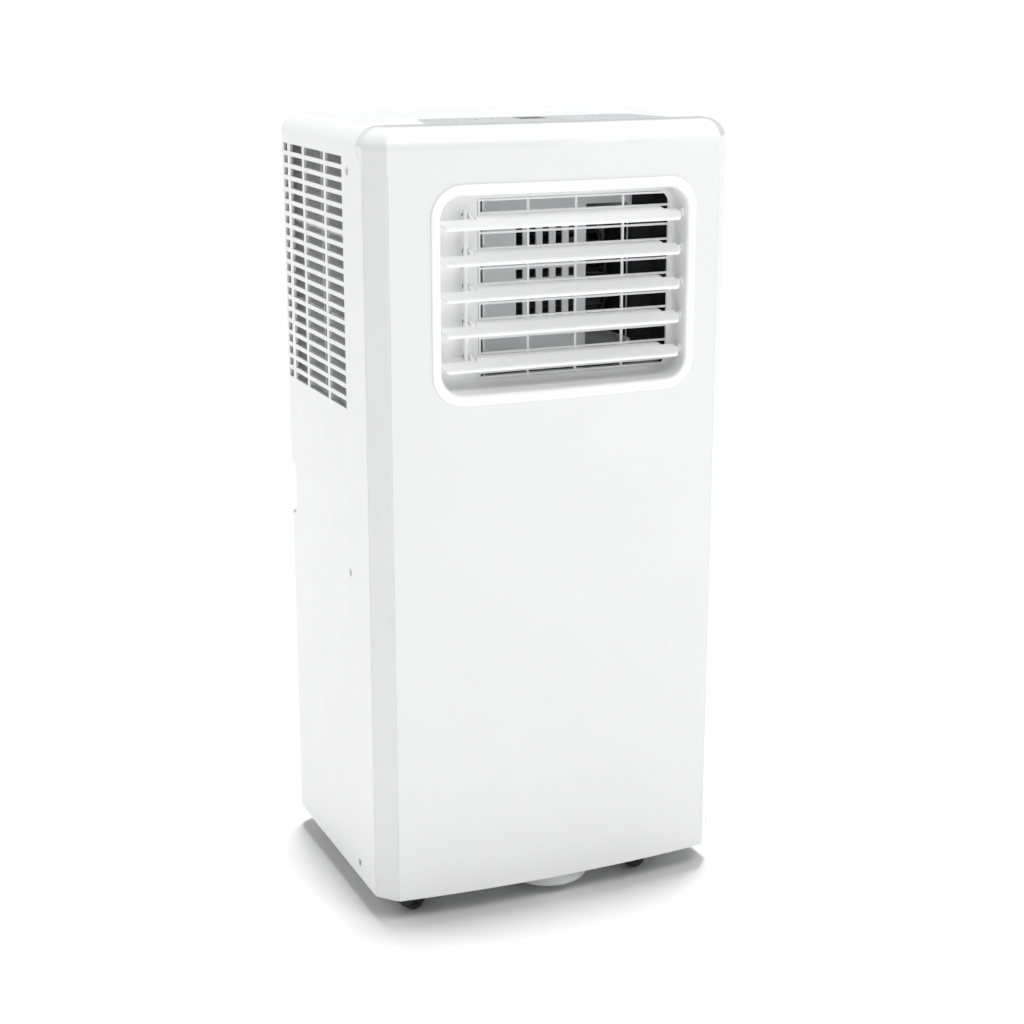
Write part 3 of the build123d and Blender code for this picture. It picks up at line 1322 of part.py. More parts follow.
# ---- casters ------------------------------------------------------------
def caster_fork(x, y):
    """Hooded fork with its swivel stem; the wheel trails along local +X."""
    half = WHEEL_W / 2 + 0.5
    outer = half + HOOD_WALL
    trail = CASTER_TRAIL
    hood_r = WHEEL_R + HOOD_GAP + HOOD_WALL
    hood = rod_y(hood_r, -outer, outer, trail, WHEEL_R)
    neck = block(-7, trail, -outer, outer, WHEEL_R + 4, HOOD_TOP)
    hood = hood + neck
    hood = hood & block(-20, 60, -outer, outer, WHEEL_R - 4, HOOD_TOP)
    cavity = rod_y(WHEEL_R + HOOD_GAP, -half, half, trail, WHEEL_R)
    cavity = cavity + block(trail - WHEEL_R - HOOD_GAP, trail + WHEEL_R + HOOD_GAP, -half, half, -5, WHEEL_R)
    hood = hood - cavity
    axle = rod_y(AXLE_R, -outer, outer, trail, WHEEL_R)
    stem = rod_z(STEM_R, HOOD_TOP - 3, STEM_TOP, 0, 0)
    collar = rod_z(STEM_R + 3, HOOD_TOP - 1, PAN_LOW - FIT, 0, 0)
    fork = fuse([hood, axle, stem, collar])
    return Pos(x, y, 0) * Rot(0, 0, CASTER_ANGLE) * fork


def caster_wheel(x, y):
    """Wheel of one caster with a rounded tread."""
    wheel = Cylinder(WHEEL_R, WHEEL_W)
    wheel = fillet(wheel.edges().filter_by(GeomType.CIRCLE), 2)
    dish = Cylinder(WHEEL_R - 4, 2)
    wheel = wheel - Pos(0, 0, WHEEL_W / 2) * dish - Pos(0, 0, -WHEEL_W / 2) * dish
    wheel = wheel - Cylinder(AXLE_R + RUN, 40)
    wheel = Pos(CASTER_TRAIL, 0, WHEEL_R) * Rot(90, 0, 0) * wheel
    return Pos(x, y, 0) * Rot(0, 0, CASTER_ANGLE) * wheel


# ---- whole object -------------------------------------------------------
def build():
    """Every node by name."""
    shell = casing_shell()
    envelope = casing_block(0.0, FLOOR_GAP, TOP_ROUND)
    nodes = {
        "front_panel": front_panel(shell),
        "rear_housing": rear_housing(shell, envelope),
        "side_screws": side_screws(),
        "exhaust_collar": exhaust_collar(),
        "louvre_frame": louvre_frame(),
        "louvre_link": louvre_link(),
        "outlet_guard": outlet_guard(),
        "blower_scroll": blower_scroll(),
        "blower_wheel": blower_wheel(),
        "blower_shaft": blower_shaft(),
        "blower_motor": blower_motor(),
        "middle_tray": middle_tray(),
        "base_pan": base_pan(),
        "drain_cap_lower": drain_cap(DRAIN_LOW_Z),
        "drain_cap_middle": drain_cap(DRAIN_MID_Z),
        "cord_bush": cord_bush(),
        "condenser_coil": condenser_coil(),
        "fan_scroll": fan_scroll(),
        "fan_wheel": fan_wheel(),
        "fan_shaft": fan_shaft(),
        "fan_motor": fan_motor(),
        "exhaust_duct": exhaust_duct(),
        "compressor": compressor(),
        "compressor_grommets": compressor_grommets(),
        "compressor_bolts": compressor_bolts(),
        "refrigerant_pipes": refrigerant_pipes(),
        "splash_wheel": splash_wheel(),
        "splash_motor": splash_motor(),
        "electrical_box": electrical_box(),
        "electrical_cover": electrical_cover(),
        "capacitor": capacitor(),
        "power_board": power_board(),
        "top_cover": top_cover(),
        "control_inlay": control_inlay(),
        "display_window": display_window(),
        "control_board": control_board(),
    }
    for i, z in enumerate(blade_heights()):
        nodes[f"louvre_blade_{i + 1}"] = louvre_blade(z)
    for i, (x, y) in enumerate(button_places()):
        nodes[f"button_{i + 1}"] = button(x, y)
    for side, word in ((-1, "left"), (1, "right")):
        nodes[f"evaporator_coil_{word}"] = evaporator_coil(side)
        nodes[f"air_filter_{word}"] = air_filter(side)
    for name, x, y in caster_places():
        nodes[f"caster_fork_{name}"] = caster_fork(x, y)
        nodes[f"caster_wheel_{name}"] = caster_wheel(x, y)
    return nodes


os.makedirs("parts", exist_ok=True)
for name, shape in build().items():
    export_step(shape, f"parts/{name}.step")
    print(name, round(shape.volume))
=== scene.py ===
"""Studio scene of a compact portable air conditioner.

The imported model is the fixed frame. Each sub-assembly is a class that dresses
its carried-over parts and builds the finer pieces that stand for plain ones.
"""
import json
import logging
import math
from dataclasses import dataclass
from enum import Enum
from typing import Sequence

import bmesh
import bpy
from mathutils import Matrix, Vector


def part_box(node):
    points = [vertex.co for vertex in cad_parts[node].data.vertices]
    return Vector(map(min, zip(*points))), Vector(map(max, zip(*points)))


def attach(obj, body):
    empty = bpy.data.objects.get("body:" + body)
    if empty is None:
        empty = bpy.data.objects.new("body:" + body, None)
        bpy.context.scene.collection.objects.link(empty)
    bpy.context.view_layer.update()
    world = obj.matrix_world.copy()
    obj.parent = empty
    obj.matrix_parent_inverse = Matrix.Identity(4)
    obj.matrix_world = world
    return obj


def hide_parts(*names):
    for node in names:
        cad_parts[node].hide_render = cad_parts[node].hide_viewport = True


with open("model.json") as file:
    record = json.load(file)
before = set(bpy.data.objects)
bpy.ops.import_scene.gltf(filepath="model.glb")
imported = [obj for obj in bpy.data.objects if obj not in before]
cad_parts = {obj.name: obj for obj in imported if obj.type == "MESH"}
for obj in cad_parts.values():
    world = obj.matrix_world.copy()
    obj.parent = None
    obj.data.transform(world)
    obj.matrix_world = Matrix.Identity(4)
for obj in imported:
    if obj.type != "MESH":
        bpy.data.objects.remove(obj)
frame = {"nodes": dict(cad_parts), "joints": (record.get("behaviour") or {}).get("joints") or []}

LOG = logging.getLogger("air_conditioner")
MM = 0.001
Pair = tuple[float, float]
Colour = Point = tuple[float, float, float]
Socket = bpy.types.NodeSocket
Value = Socket | float | tuple


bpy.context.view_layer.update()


class Axis(Enum):
    """A level direction, with its index in a vector."""

    X = 0
    Y = 1


class Side(Enum):
    """The two sides of the casing, with their sign along X."""

    LEFT = -1
    RIGHT = 1

    @property
    def word(self) -> str:
        """Name used in node names."""
        return self.name.lower()


# ----- Shader node groups -----
class Wiring:
    """Adds and links nodes in one shader tree."""

    def __init__(self, tree: bpy.types.NodeTree) -> None:
        """Keeps the node tree to fill."""
        self.tree = tree

    def feed(self, value: Value, target: Socket) -> None:
        """Gives an input a link from a socket, or a constant."""
        if isinstance(value, Socket):
            self.tree.links.new(value, target)
        else:
            target.default_value = value

    def add(self, kind: str, values: dict | None = None, **settings) -> bpy.types.Node:
        """Adds one node.

        Args:
            kind: the node's type name without its prefix.
            values: input names or numbers, each with a socket or a constant.
            settings: attributes set on the node.

        Returns:
            The new node.
        """
        node = self.tree.nodes.new("ShaderNode" + kind)
        for key, value in settings.items():
            setattr(node, key, value)
        for key, value in (values or {}).items():
            self.feed(value, node.inputs[key])
        return node

    def math(self, kind: str, *parts: Value) -> Socket:
        """Value of a math node over sockets or numbers."""
        return self.add("Math", dict(enumerate(parts)), operation=kind).outputs[0]

    def blend(self, factor: Value, first: Value, second: Value) -> Socket:
        """Mix of two colours, the first one at factor 0."""
        return self.add("Mix", {0: factor, 6: first, 7: second}, data_type="RGBA").outputs[2]

    def noise(self, place: Socket, scale: Value, detail: float, rough: float = 0.5) -> Socket:
        """Value of a noise texture."""
        values = {"Vector": place, "Scale": scale, "Detail": detail, "Roughness": rough}
        return self.add("TexNoise", values).outputs["Fac"]

    def remap(self, value: Socket, low: float, high: float, to_low: Value = 0.0,
              to_high: Value = 1.0) -> Socket:
        """A value's range stretched to another one.

        Args:
            value: what is mapped.
            low: value that gives the new low end.
            high: value that gives the new high end.
            to_low: the new low end.
            to_high: the new high end.

        Returns:
            The mapped value, clamped to the new range.
        """
        values = {"Value": value, "From Min": low, "From Max": high, "To Min": to_low, "To Max": to_high}
        return self.add("MapRange", values).outputs[0]


class GroupMaker:
    """Starts a shader node group with named sockets."""

    def __init__(self, name: str, inputs: dict[str, str], outputs: dict[str, str]) -> None:
        """Args:
            name: the group's name.
            inputs: socket names with their kind, Float, Color or Vector.
            outputs: the same for the outputs.
        """
        self.tree = bpy.data.node_groups.new(name, "ShaderNodeTree")
        for end, sockets in (("INPUT", inputs), ("OUTPUT", outputs)):
            for label, kind in sockets.items():
                self.tree.interface.new_socket(label, in_out=end, socket_type="NodeSocket" + kind)
        self.wires = Wiring(self.tree)
        self.source = self.tree.nodes.new("NodeGroupInput").outputs
        self.sink = self.tree.nodes.new("NodeGroupOutput").inputs


SURFACE = {"Color": "Color", "Roughness": "Float", "Height": "Float"}
FINE_SPREAD = (0.3, 0.7)


def moulded_group() -> bpy.types.NodeTree:
    """Colour drift, roughness drift and fine grain of a moulded plastic."""
    group = GroupMaker("Moulded Surface", {
        "Vector": "Vector", "Base": "Color", "Shade": "Color", "Cloud Scale": "Float",
        "Grain Scale": "Float", "Rough Low": "Float", "Rough High": "Float", "Orange Peel": "Float",
    }, SURFACE)
    wires, source = group.wires, group.source
    place = source["Vector"]
    drift = wires.remap(wires.noise(place, source["Cloud Scale"], 4.0, 0.55), 0.35, 0.68)
    wires.feed(wires.blend(drift, source["Base"], source["Shade"]), group.sink["Color"])
    cells = {"Vector": place, "Scale": source["Grain Scale"], "Randomness": 1.0}
    grain = wires.add("TexVoronoi", cells, feature="SMOOTH_F1").outputs["Distance"]
    waves = wires.math("MULTIPLY", wires.noise(place, 260.0, 2.0), source["Orange Peel"])
    wires.feed(wires.math("ADD", grain, waves), group.sink["Height"])
    fine = wires.noise(place, wires.math("MULTIPLY", source["Cloud Scale"], 7.0), 6.0)
    rough = wires.remap(fine, *FINE_SPREAD, source["Rough Low"], source["Rough High"])
    wires.feed(rough, group.sink["Roughness"])
    return group.tree


def metal_group() -> bpy.types.NodeTree:
    """Drawn or rolled metal: streaks along one axis, with tarnish patches."""
    group = GroupMaker("Rolled Metal", {
        "Vector": "Vector", "Base": "Color", "Tarnish": "Color", "Stretch": "Vector",
        "Rough Low": "Float", "Rough High": "Float",
    }, SURFACE)
    wires, source = group.wires, group.source
    place = source["Vector"]
    scaled = wires.add("VectorMath", {0: place, 1: source["Stretch"]}, operation="MULTIPLY").outputs[0]
    streak = wires.noise(scaled, 1.0, 5.0)
    stain = wires.remap(wires.noise(place, 38.0, 6.0, 0.6), 0.48, 0.74)
    wires.feed(wires.blend(stain, source["Base"], source["Tarnish"]), group.sink["Color"])
    rough = wires.remap(streak, *FINE_SPREAD, source["Rough Low"], source["Rough High"])
    wires.feed(rough, group.sink["Roughness"])
    wires.feed(streak, group.sink["Height"])
    return group.tree


def mask_group(name: str) -> GroupMaker:
    """Group that turns coordinates and an amount into a mask."""
    return GroupMaker(name, {"Vector": "Vector", "Amount": "Float"}, {"Mask": "Float"})


def scuff_group() -> bpy.types.NodeTree:
    """Mask of short hairline scuffs."""
    group = mask_group("Hairline Scuffs")
    wires, source = group.wires, group.source
    total = 0.0
    for turn, scale in ((0.4, 60.0), (1.3, 75.0), (2.5, 52.0)):
        placing = wires.add("Mapping", {"Vector": source["Vector"], "Rotation": (turn, turn * 0.7, turn),
                                        "Scale": (1.0, 16.0, 3.0)})
        streaks = wires.noise(placing.outputs[0], scale, 2.0)
        total = wires.math("MAXIMUM", total, wires.remap(streaks, 0.70, 0.74))
    wires.feed(wires.math("MULTIPLY", total, source["Amount"]), group.sink["Mask"])
    return group.tree


def dust_group() -> bpy.types.NodeTree:
    """Mask of settled dust on faces that look upward."""
    group = mask_group("Settled Dust")
    wires, source = group.wires, group.source
    facing = wires.add("SeparateXYZ", {0: wires.add("NewGeometry").outputs["Normal"]})
    up = wires.remap(facing.outputs["Z"], 0.25, 1.0)
    patch = wires.math("MULTIPLY", wires.noise(source["Vector"], 85.0, 7.0, 0.7), up)
    wires.feed(wires.math("MULTIPLY", patch, source["Amount"]), group.sink["Mask"])
    return group.tree


GROUPS = {
    "moulded": moulded_group(),
    "metal": metal_group(),
    "scuffs": scuff_group(),
    "dust": dust_group(),
}


# ----- Finishes -----
def rgba(colour: Colour) -> tuple[float, float, float, float]:
    """Colour with full alpha."""
    return (*colour, 1.0)


class Finish:
    """A material that is made once and shared."""

    made: dict[str, bpy.types.Material] = {}

    def material(self) -> bpy.types.Material:
        """The finish's material, built on first use."""
        if self.name not in Finish.made:
            material = bpy.data.materials.new(self.name)
            material.use_nodes = True
            wires = Wiring(material.node_tree)
            shader = material.node_tree.nodes["Principled BSDF"]
            self.wire(wires, shader, wires.add("TexCoord").outputs["Object"])
            Finish.made[self.name] = material
        return Finish.made[self.name]

    def wire(self, wires: Wiring, shader: bpy.types.Node, place: Socket) -> None:
        """Wires the finish into a new material.

        Args:
            wires: the material's tree.
            shader: the Principled BSDF.
            place: object coordinates.
        """
        raise NotImplementedError

    def group(self, wires: Wiring, key: str, place: Socket, **values) -> bpy.types.bpy_prop_collection:
        """Places one of the shared groups.

        Args:
            wires: the material's tree.
            key: which group.
            place: coordinates.
            values: the group's inputs, with _ for a space, in this finish.

        Returns:
            The group's outputs.
        """
        named = {label.replace("_", " "): value for label, value in values.items()}
        return wires.add("Group", {"Vector": place, **named}, node_tree=GROUPS[key]).outputs

    def surface(self, wires: Wiring, shader: bpy.types.Node, colour: Socket, rough: Socket,
                relief: tuple[Socket, float]) -> None:
        """Feeds the shader.

        Args:
            wires: the material's tree.
            shader: the Principled BSDF.
            colour: base colour.
            rough: roughness.
            relief: height, and its depth in metres.
        """
        wires.feed(colour, shader.inputs["Base Color"])
        wires.feed(rough, shader.inputs["Roughness"])
        bump = wires.add("Bump", {"Height": relief[0], "Strength": 1.0, "Distance": relief[1]})
        wires.feed(bump.outputs[0], shader.inputs["Normal"])


@dataclass(frozen=True)
class Plastic(Finish):
    """Injection-moulded plastic, with grain, drift, scuffs and dust."""

    name: str
    base: Colour
    shade: Colour
    rough: Pair
    grain: float = 1400.0
    depth: float = 0.00002
    peel: float = 0.0
    clouds: float = 9.0
    coat: float = 0.0
    scuffs: float = 0.0
    dust: float = 0.0
    level: float = 0.5
    coat_rough: float = 0.06
    worn: Pair = (1.6, 0.05)
    scuff_rough: float = 0.3
    dust_colour: Colour = (0.55, 0.53, 0.50)
    dust_rough: float = 0.4

    def wire(self, wires: Wiring, shader: bpy.types.Node, place: Socket) -> None:
        """Wires grain and drift, then scuffs and dust where the finish has them."""
        body = self.group(wires, "moulded", place, Base=rgba(self.base), Shade=rgba(self.shade),
                          Cloud_Scale=self.clouds, Grain_Scale=self.grain, Orange_Peel=self.peel,
                          Rough_Low=self.rough[0], Rough_High=self.rough[1])
        colour, rough = body["Color"], body["Roughness"]
        if self.scuffs:
            marks = self.group(wires, "scuffs", place, Amount=self.scuffs)["Mask"]
            worn = tuple(min(1.0, part * self.worn[0] + self.worn[1]) for part in self.base)
            colour = wires.blend(marks, colour, rgba(worn))
            rough = wires.math("ADD", rough, wires.math("MULTIPLY", marks, self.scuff_rough))
        if self.dust:
            film = self.group(wires, "dust", place, Amount=self.dust)["Mask"]
            colour = wires.blend(film, colour, rgba(self.dust_colour))
            rough = wires.math("ADD", rough, wires.math("MULTIPLY", film, self.dust_rough))
        shader.inputs["Specular IOR Level"].default_value = self.level
        shader.inputs["Coat Roughness"].default_value = self.coat_rough
        shader.inputs["Coat Weight"].default_value = self.coat
        self.surface(wires, shader, colour, rough, (body["Height"], self.depth))


@dataclass(frozen=True)
class Metal(Finish):
    """Bare or plated metal, with streaks, tarnish and dust."""

    name: str
    base: Colour
    tarnish: Colour
    rough: Pair
    stretch: Point = (40.0, 900.0, 900.0)
    depth: float = 0.00002
    dust: float = 0.0
    dust_colour: Colour = (0.5, 0.48, 0.45)

    def wire(self, wires: Wiring, shader: bpy.types.Node, place: Socket) -> None:
        """Wires streaks and tarnish, then dust where the finish has it."""
        body = self.group(wires, "metal", place, Base=rgba(self.base), Tarnish=rgba(self.tarnish),
                          Stretch=self.stretch, Rough_Low=self.rough[0], Rough_High=self.rough[1])
        colour = body["Color"]
        if self.dust:
            film = self.group(wires, "dust", place, Amount=self.dust)["Mask"]
            colour = wires.blend(film, colour, rgba(self.dust_colour))
        shader.inputs["Metallic"].default_value = 1.0
        self.surface(wires, shader, colour, body["Roughness"], (body["Height"], self.depth))


@dataclass(frozen=True)
class Spangle(Finish):
    """Galvanised sheet with its crystal pattern."""

    name: str
    base: Colour
    shade: Colour
    depth: float = 0.00001

    def wire(self, wires: Wiring, shader: bpy.types.Node, place: Socket) -> None:
        """Wires the crystal cells, each with its own tone, gloss and height."""
        cells = wires.add("TexVoronoi", {"Vector": place, "Scale": 120.0})
        tone, gloss, height = wires.add("SeparateColor", {0: cells.outputs["Color"]}).outputs
        shader.inputs["Metallic"].default_value = 1.0
        self.surface(wires, shader, wires.blend(tone, rgba(self.base), rgba(self.shade)),
                     wires.math("MULTIPLY_ADD", gloss, 0.22, 0.3), (height, self.depth))


@dataclass(frozen=True)
class Board(Finish):
    """Printed board with masked copper tracks."""

    name: str
    mask: Colour
    track: Colour
    depth: float = 0.00003

    def wire(self, wires: Wiring, shader: bpy.types.Node, place: Socket) -> None:
        """Wires the track pattern, which stands out of the mask."""
        grid = {"Vector": place, "Scale": 160.0, "Randomness": 0.35}
        cells = wires.add("TexVoronoi", grid, distance="CHEBYCHEV")
        line = wires.remap(cells.outputs["Distance"], 0.36, 0.42)
        self.surface(wires, shader, wires.blend(line, rgba(self.mask), rgba(self.track)),
                     wires.math("MULTIPLY_ADD", line, 0.15, 0.28), (line, self.depth))


@dataclass(frozen=True)
class Backdrop(Finish):
    """Matt studio paint."""

    name: str
    base: Colour
    darker: float = 0.985

    def wire(self, wires: Wiring, shader: bpy.types.Node, place: Socket) -> None:
        """Wires a faint tooth."""
        shade = rgba(tuple(part * self.darker for part in self.base))
        tooth = wires.noise(place, 700.0, 3.0)
        wires.feed(wires.blend(tooth, shade, rgba(self.base)), shader.inputs["Base Color"])
        shader.inputs["Roughness"].default_value = 0.75
        shader.inputs["Specular IOR Level"].default_value = 0.2


GLOSS_WHITE = Plastic("gloss_white_abs", (0.790, 0.792, 0.794), (0.778, 0.780, 0.783), (0.16, 0.22),
                      grain=2600.0, depth=0.000004, peel=3.0, coat=0.35)
# Whiter than the casing's plastics: the parts' own white plus painted light, raised so the trim, blades and
# link bar in the shaded recess read brighter.
LOUVRE_WHITE_PAINTED_LIGHT = Plastic("louvre_white_abs_painted_light", (0.925, 0.926, 0.927), (0.920, 0.921, 0.923), (0.36, 0.39),
                       grain=2200.0, depth=0.000003, peel=0.4)
SATIN_WHITE = Plastic("satin_white_abs", (0.810, 0.811, 0.813), (0.795, 0.797, 0.800), (0.36, 0.46),
                      grain=1700.0, depth=0.00003, peel=0.6)
GUARD_WHITE = Plastic("guard_white_abs", (0.93, 0.931, 0.932), (0.925, 0.926, 0.928), (0.38, 0.42),
                      grain=2200.0, depth=0.000003)
INNER_WHITE = Plastic("inner_white_abs", (0.74, 0.745, 0.75), (0.69, 0.695, 0.70), (0.45, 0.6),
                      grain=1500.0, depth=0.00003, dust=0.2)
FILTER_WHITE = Plastic("filter_white", (0.78, 0.78, 0.785), (0.72, 0.72, 0.73), (0.45, 0.6), dust=0.15)
INLAY_GREY = Plastic("inlay_grey_film", (0.56, 0.57, 0.58), (0.53, 0.54, 0.55), (0.34, 0.42),
                     grain=3600.0, depth=0.000008)
KEY_GREY = Plastic("key_grey", (0.62, 0.63, 0.64), (0.58, 0.59, 0.60), (0.32, 0.4),
                   grain=3000.0, depth=0.00001)
PRINT_DARK = Plastic("print_dark", (0.03, 0.03, 0.035), (0.045, 0.045, 0.05), (0.3, 0.4), grain=4000.0,
                     depth=0.000003)
DISPLAY_BLACK = Plastic("display_black", (0.006, 0.006, 0.008), (0.012, 0.012, 0.015), (0.05, 0.09),
                        grain=5000.0, depth=0.000001, coat=1.0)
DIGIT_GREY = Plastic("digit_grey", (0.022, 0.022, 0.026), (0.03, 0.03, 0.034), (0.2, 0.3), depth=0.000001)
PAN_GREY = Plastic("pan_grey", (0.66, 0.665, 0.67), (0.60, 0.605, 0.61), (0.4, 0.52), depth=0.00003, dust=0.1)
CASTER_BLACK = Plastic("caster_black", (0.018, 0.018, 0.020), (0.026, 0.026, 0.028), (0.32, 0.45),
                       depth=0.00002, scuffs=0.25)
TREAD_BLACK = Plastic("tread_black", (0.022, 0.022, 0.023), (0.035, 0.034, 0.033), (0.5, 0.65),
                      depth=0.00004, scuffs=0.6, dust=0.25)
RUBBER_BLACK = Plastic("rubber_black", (0.02, 0.02, 0.02), (0.032, 0.031, 0.030), (0.62, 0.8),
                       depth=0.00004, dust=0.2, level=0.3)
WHEEL_DARK = Plastic("drum_black", (0.03, 0.03, 0.032), (0.045, 0.045, 0.047), (0.4, 0.55), dust=0.3)
# Near-black with a coarse grain, used only on the sheet in the outlet duct: painted shade, a dark sheet put
# where the duct is only in shadow.
PAINTED_SHADE_BLACK = Plastic("painted_shade_black", (0.016, 0.016, 0.017), (0.03, 0.03, 0.031), (0.8, 0.95), grain=600.0,
                     depth=0.0003, level=0.1)
ENAMEL_BLACK = Plastic("enamel_black", (0.012, 0.012, 0.013), (0.02, 0.02, 0.022), (0.16, 0.28),
                       grain=900.0, depth=0.00003, peel=5.0, coat=0.4, dust=0.25)
FIN_ALUMINIUM = Metal("fin_aluminium", (0.46, 0.47, 0.48), (0.34, 0.35, 0.36), (0.38, 0.55),
                      (900.0, 900.0, 60.0))
ZINC_STEEL = Metal("zinc_steel", (0.66, 0.66, 0.65), (0.46, 0.45, 0.43), (0.25, 0.42))
COPPER = Metal("drawn_copper", (0.78, 0.42, 0.28), (0.40, 0.22, 0.15), (0.2, 0.42), dust=0.15)
CAN_ALUMINIUM = Metal("can_aluminium", (0.72, 0.72, 0.73), (0.55, 0.55, 0.56), (0.25, 0.4),
                      (900.0, 900.0, 50.0))
GALVANISED = Spangle("galvanised_sheet", (0.62, 0.63, 0.64), (0.46, 0.47, 0.49))
BOARD_GREEN = Board("board_green", (0.02, 0.10, 0.05), (0.05, 0.20, 0.09))
FLOOR_PAINT = Backdrop("studio_floor_paint", (0.95, 0.95, 0.95))


# ----- Meshes -----
def put(name: str, data: bpy.types.ID) -> bpy.types.Object:
    """New object in the scene that shows the given data."""
    piece = bpy.data.objects.new(name, data)
    bpy.context.scene.collection.objects.link(piece)
    return piece


def centre_and_half(node: str) -> tuple[Vector, Vector]:
    """Middle and half size of a node's box."""
    low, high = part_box(node)
    return (low + high) / 2, (high - low) / 2


def joint_named(name: str) -> dict:
    """A joint of the frame."""
    return next(joint for joint in frame["joints"] if joint["name"] == name)


def arc(radius: float, start: float, end: float, steps: int, centre: Pair = (0.0, 0.0)) -> list[Pair]:
    """Points along an arc.

    Args:
        radius: its radius.
        start: first angle in degrees.
        end: last angle in degrees.
        steps: divisions of the arc.
        centre: its centre.

    Returns:
        The points, both ends included.
    """
    angles = [math.radians(start + (end - start) * i / steps) for i in range(steps + 1)]
    return [(centre[0] + radius * math.cos(a), centre[1] + radius * math.sin(a)) for a in angles]


class Shape:
    """Mesh of one piece, gathered part by part in the frame's metres."""

    def __init__(self) -> None:
        """Starts empty."""
        self.bm = bmesh.new()

    def box(self, low: Sequence[float], high: Sequence[float], turn: Matrix | None = None) -> None:
        """Adds a box between two corners.

        Args:
            low: lowest corner.
            high: highest corner.
            turn: placement applied to the box afterwards.
        """
        middle = [(a + b) / 2 for a, b in zip(low, high)]
        size = [b - a for a, b in zip(low, high)]
        matrix = Matrix.Translation(middle) @ Matrix.Diagonal((*size, 1.0))
        bmesh.ops.create_cube(self.bm, size=1.0, matrix=(turn @ matrix) if turn else matrix)

    def loft(self, loops: Sequence[Sequence[Vector]], caps: bool = True, ring: bool = False) -> None:
        """Skins closed loops of equal point counts, in order.

        Args:
            loops: the loops.
            caps: close the first and last loop.
            ring: join the last loop to the first.
        """
        rows = [[self.bm.verts.new(point) for point in loop] for loop in loops]
        pairs = list(zip(rows, rows[1:]))
        if ring:
            pairs.append((rows[-1], rows[0]))
        for first, second in pairs:
            count = len(first)
            for i in range(count):
                j = (i + 1) % count
                self.bm.faces.new((first[i], first[j], second[j], second[i]))
        if caps and not ring:
            self.bm.faces.new(list(reversed(rows[0])))
            self.bm.faces.new(rows[-1])

    def lathe(self, profile: Sequence[Pair], place: Matrix, steps: int) -> None:
        """Turns a closed profile of (radius, height) round local Z.

        Args:
            profile: points of the half section, none on the axis.
            place: placement of the turned body.
            steps: divisions of the circle.
        """
        turns = arc(1.0, 0.0, 360.0, steps)[:-1]
        self.loft([[place @ Vector((r * c, r * s, h)) for r, h in profile] for c, s in turns], ring=True)

    def rod(self, start: Vector, end: Vector, radius: float, steps: int = 20) -> None:
        """Adds a round rod between two points.

        Args:
            start: centre of one end.
            end: centre of the other.
            radius: its radius.
            steps: divisions of the circle.
        """
        self.tube([start, end], radius, steps)

    def tube(self, path: Sequence[Vector], radius: float, steps: int = 14) -> None:
        """Sweeps a circle along a path.

        Args:
            path: points of the centre line.
            radius: radius of the tube.
            steps: divisions of the circle.
        """
        circle = arc(radius, 0.0, 360.0, steps)[:-1]
        loops = []
        last = len(path) - 1
        side = None
        for i, point in enumerate(path):
            ahead = (path[min(i + 1, last)] - path[max(i - 1, 0)]).normalized()
            if side is None:
                side = ahead.orthogonal().normalized()
            side = (side - ahead * side.dot(ahead)).normalized()
            up = ahead.cross(side)
            loops.append([point + side * a + up * b for a, b in circle])
        self.loft(loops)

    def prism(self, outline: Sequence[Pair], thickness: float, place: Matrix) -> None:
        """Extrudes a plane outline along local Z.

        Args:
            outline: (x, y) points in order.
            thickness: height of the prism.
            place: placement of the local frame.
        """
        self.loft([[place @ Vector((x, y, z)) for x, y in outline] for z in (0.0, thickness)])

    def finish(self, name: str, body: str, finish: Finish, slot: str, stands_for: str = "",
               bevel: float = 0.0, sharp: float = 40.0) -> None:
        """Makes the object, lets it ride and hides the plain part it stands for.

        Args:
            name: the piece's name.
            body: the body it moves with.
            finish: its material.
            slot: not used.
            stands_for: the plain part that it replaces, if any.
            bevel: width of the softened edges in metres, 0 for none.
            sharp: angle in degrees over which an edge stays crisp.
        """
        bmesh.ops.recalc_face_normals(self.bm, faces=self.bm.faces)
        mesh = bpy.data.meshes.new(name)
        self.bm.to_mesh(mesh)
        self.bm.free()
        for face in mesh.polygons:
            face.use_smooth = True
        mesh.set_sharp_from_angle(angle=math.radians(sharp))
        mesh.materials.append(finish.material())
        piece = put(name, mesh)
        if bevel:
            soften(piece, bevel)
        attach(piece, body)
        if stands_for:
            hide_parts(stands_for)


def soften(piece: bpy.types.Object, width: float, segments: int = 2, angle: float = 38.0) -> None:
    """Rounds a piece's crisp edges.

    Args:
        piece: the object.
        width: width of the rounding in metres.
        segments: divisions of it.
        angle: edges sharper than this many degrees are rounded.
    """
    rounding = piece.modifiers.new("soft_edges", "BEVEL")
    rounding.width = width
    rounding.segments = segments
    rounding.limit_method = "ANGLE"
    rounding.angle_limit = math.radians(angle)
    rounding.use_clamp_overlap = True
    rounding.harden_normals = True
    rounding.miter_outer = "MITER_ARC"


def dress(finish: Finish, *nodes: str, bevel: float = 0.0) -> None:
    """Gives carried-over parts their finish.

    Args:
        finish: the material.
        nodes: names of the parts.
        bevel: width of softened edges in metres.
    """
    for name in nodes:
        part = frame["nodes"][name]
        part.data.materials.clear()
        part.data.materials.append(finish.material())
        if bevel:
            soften(part, bevel, 1)


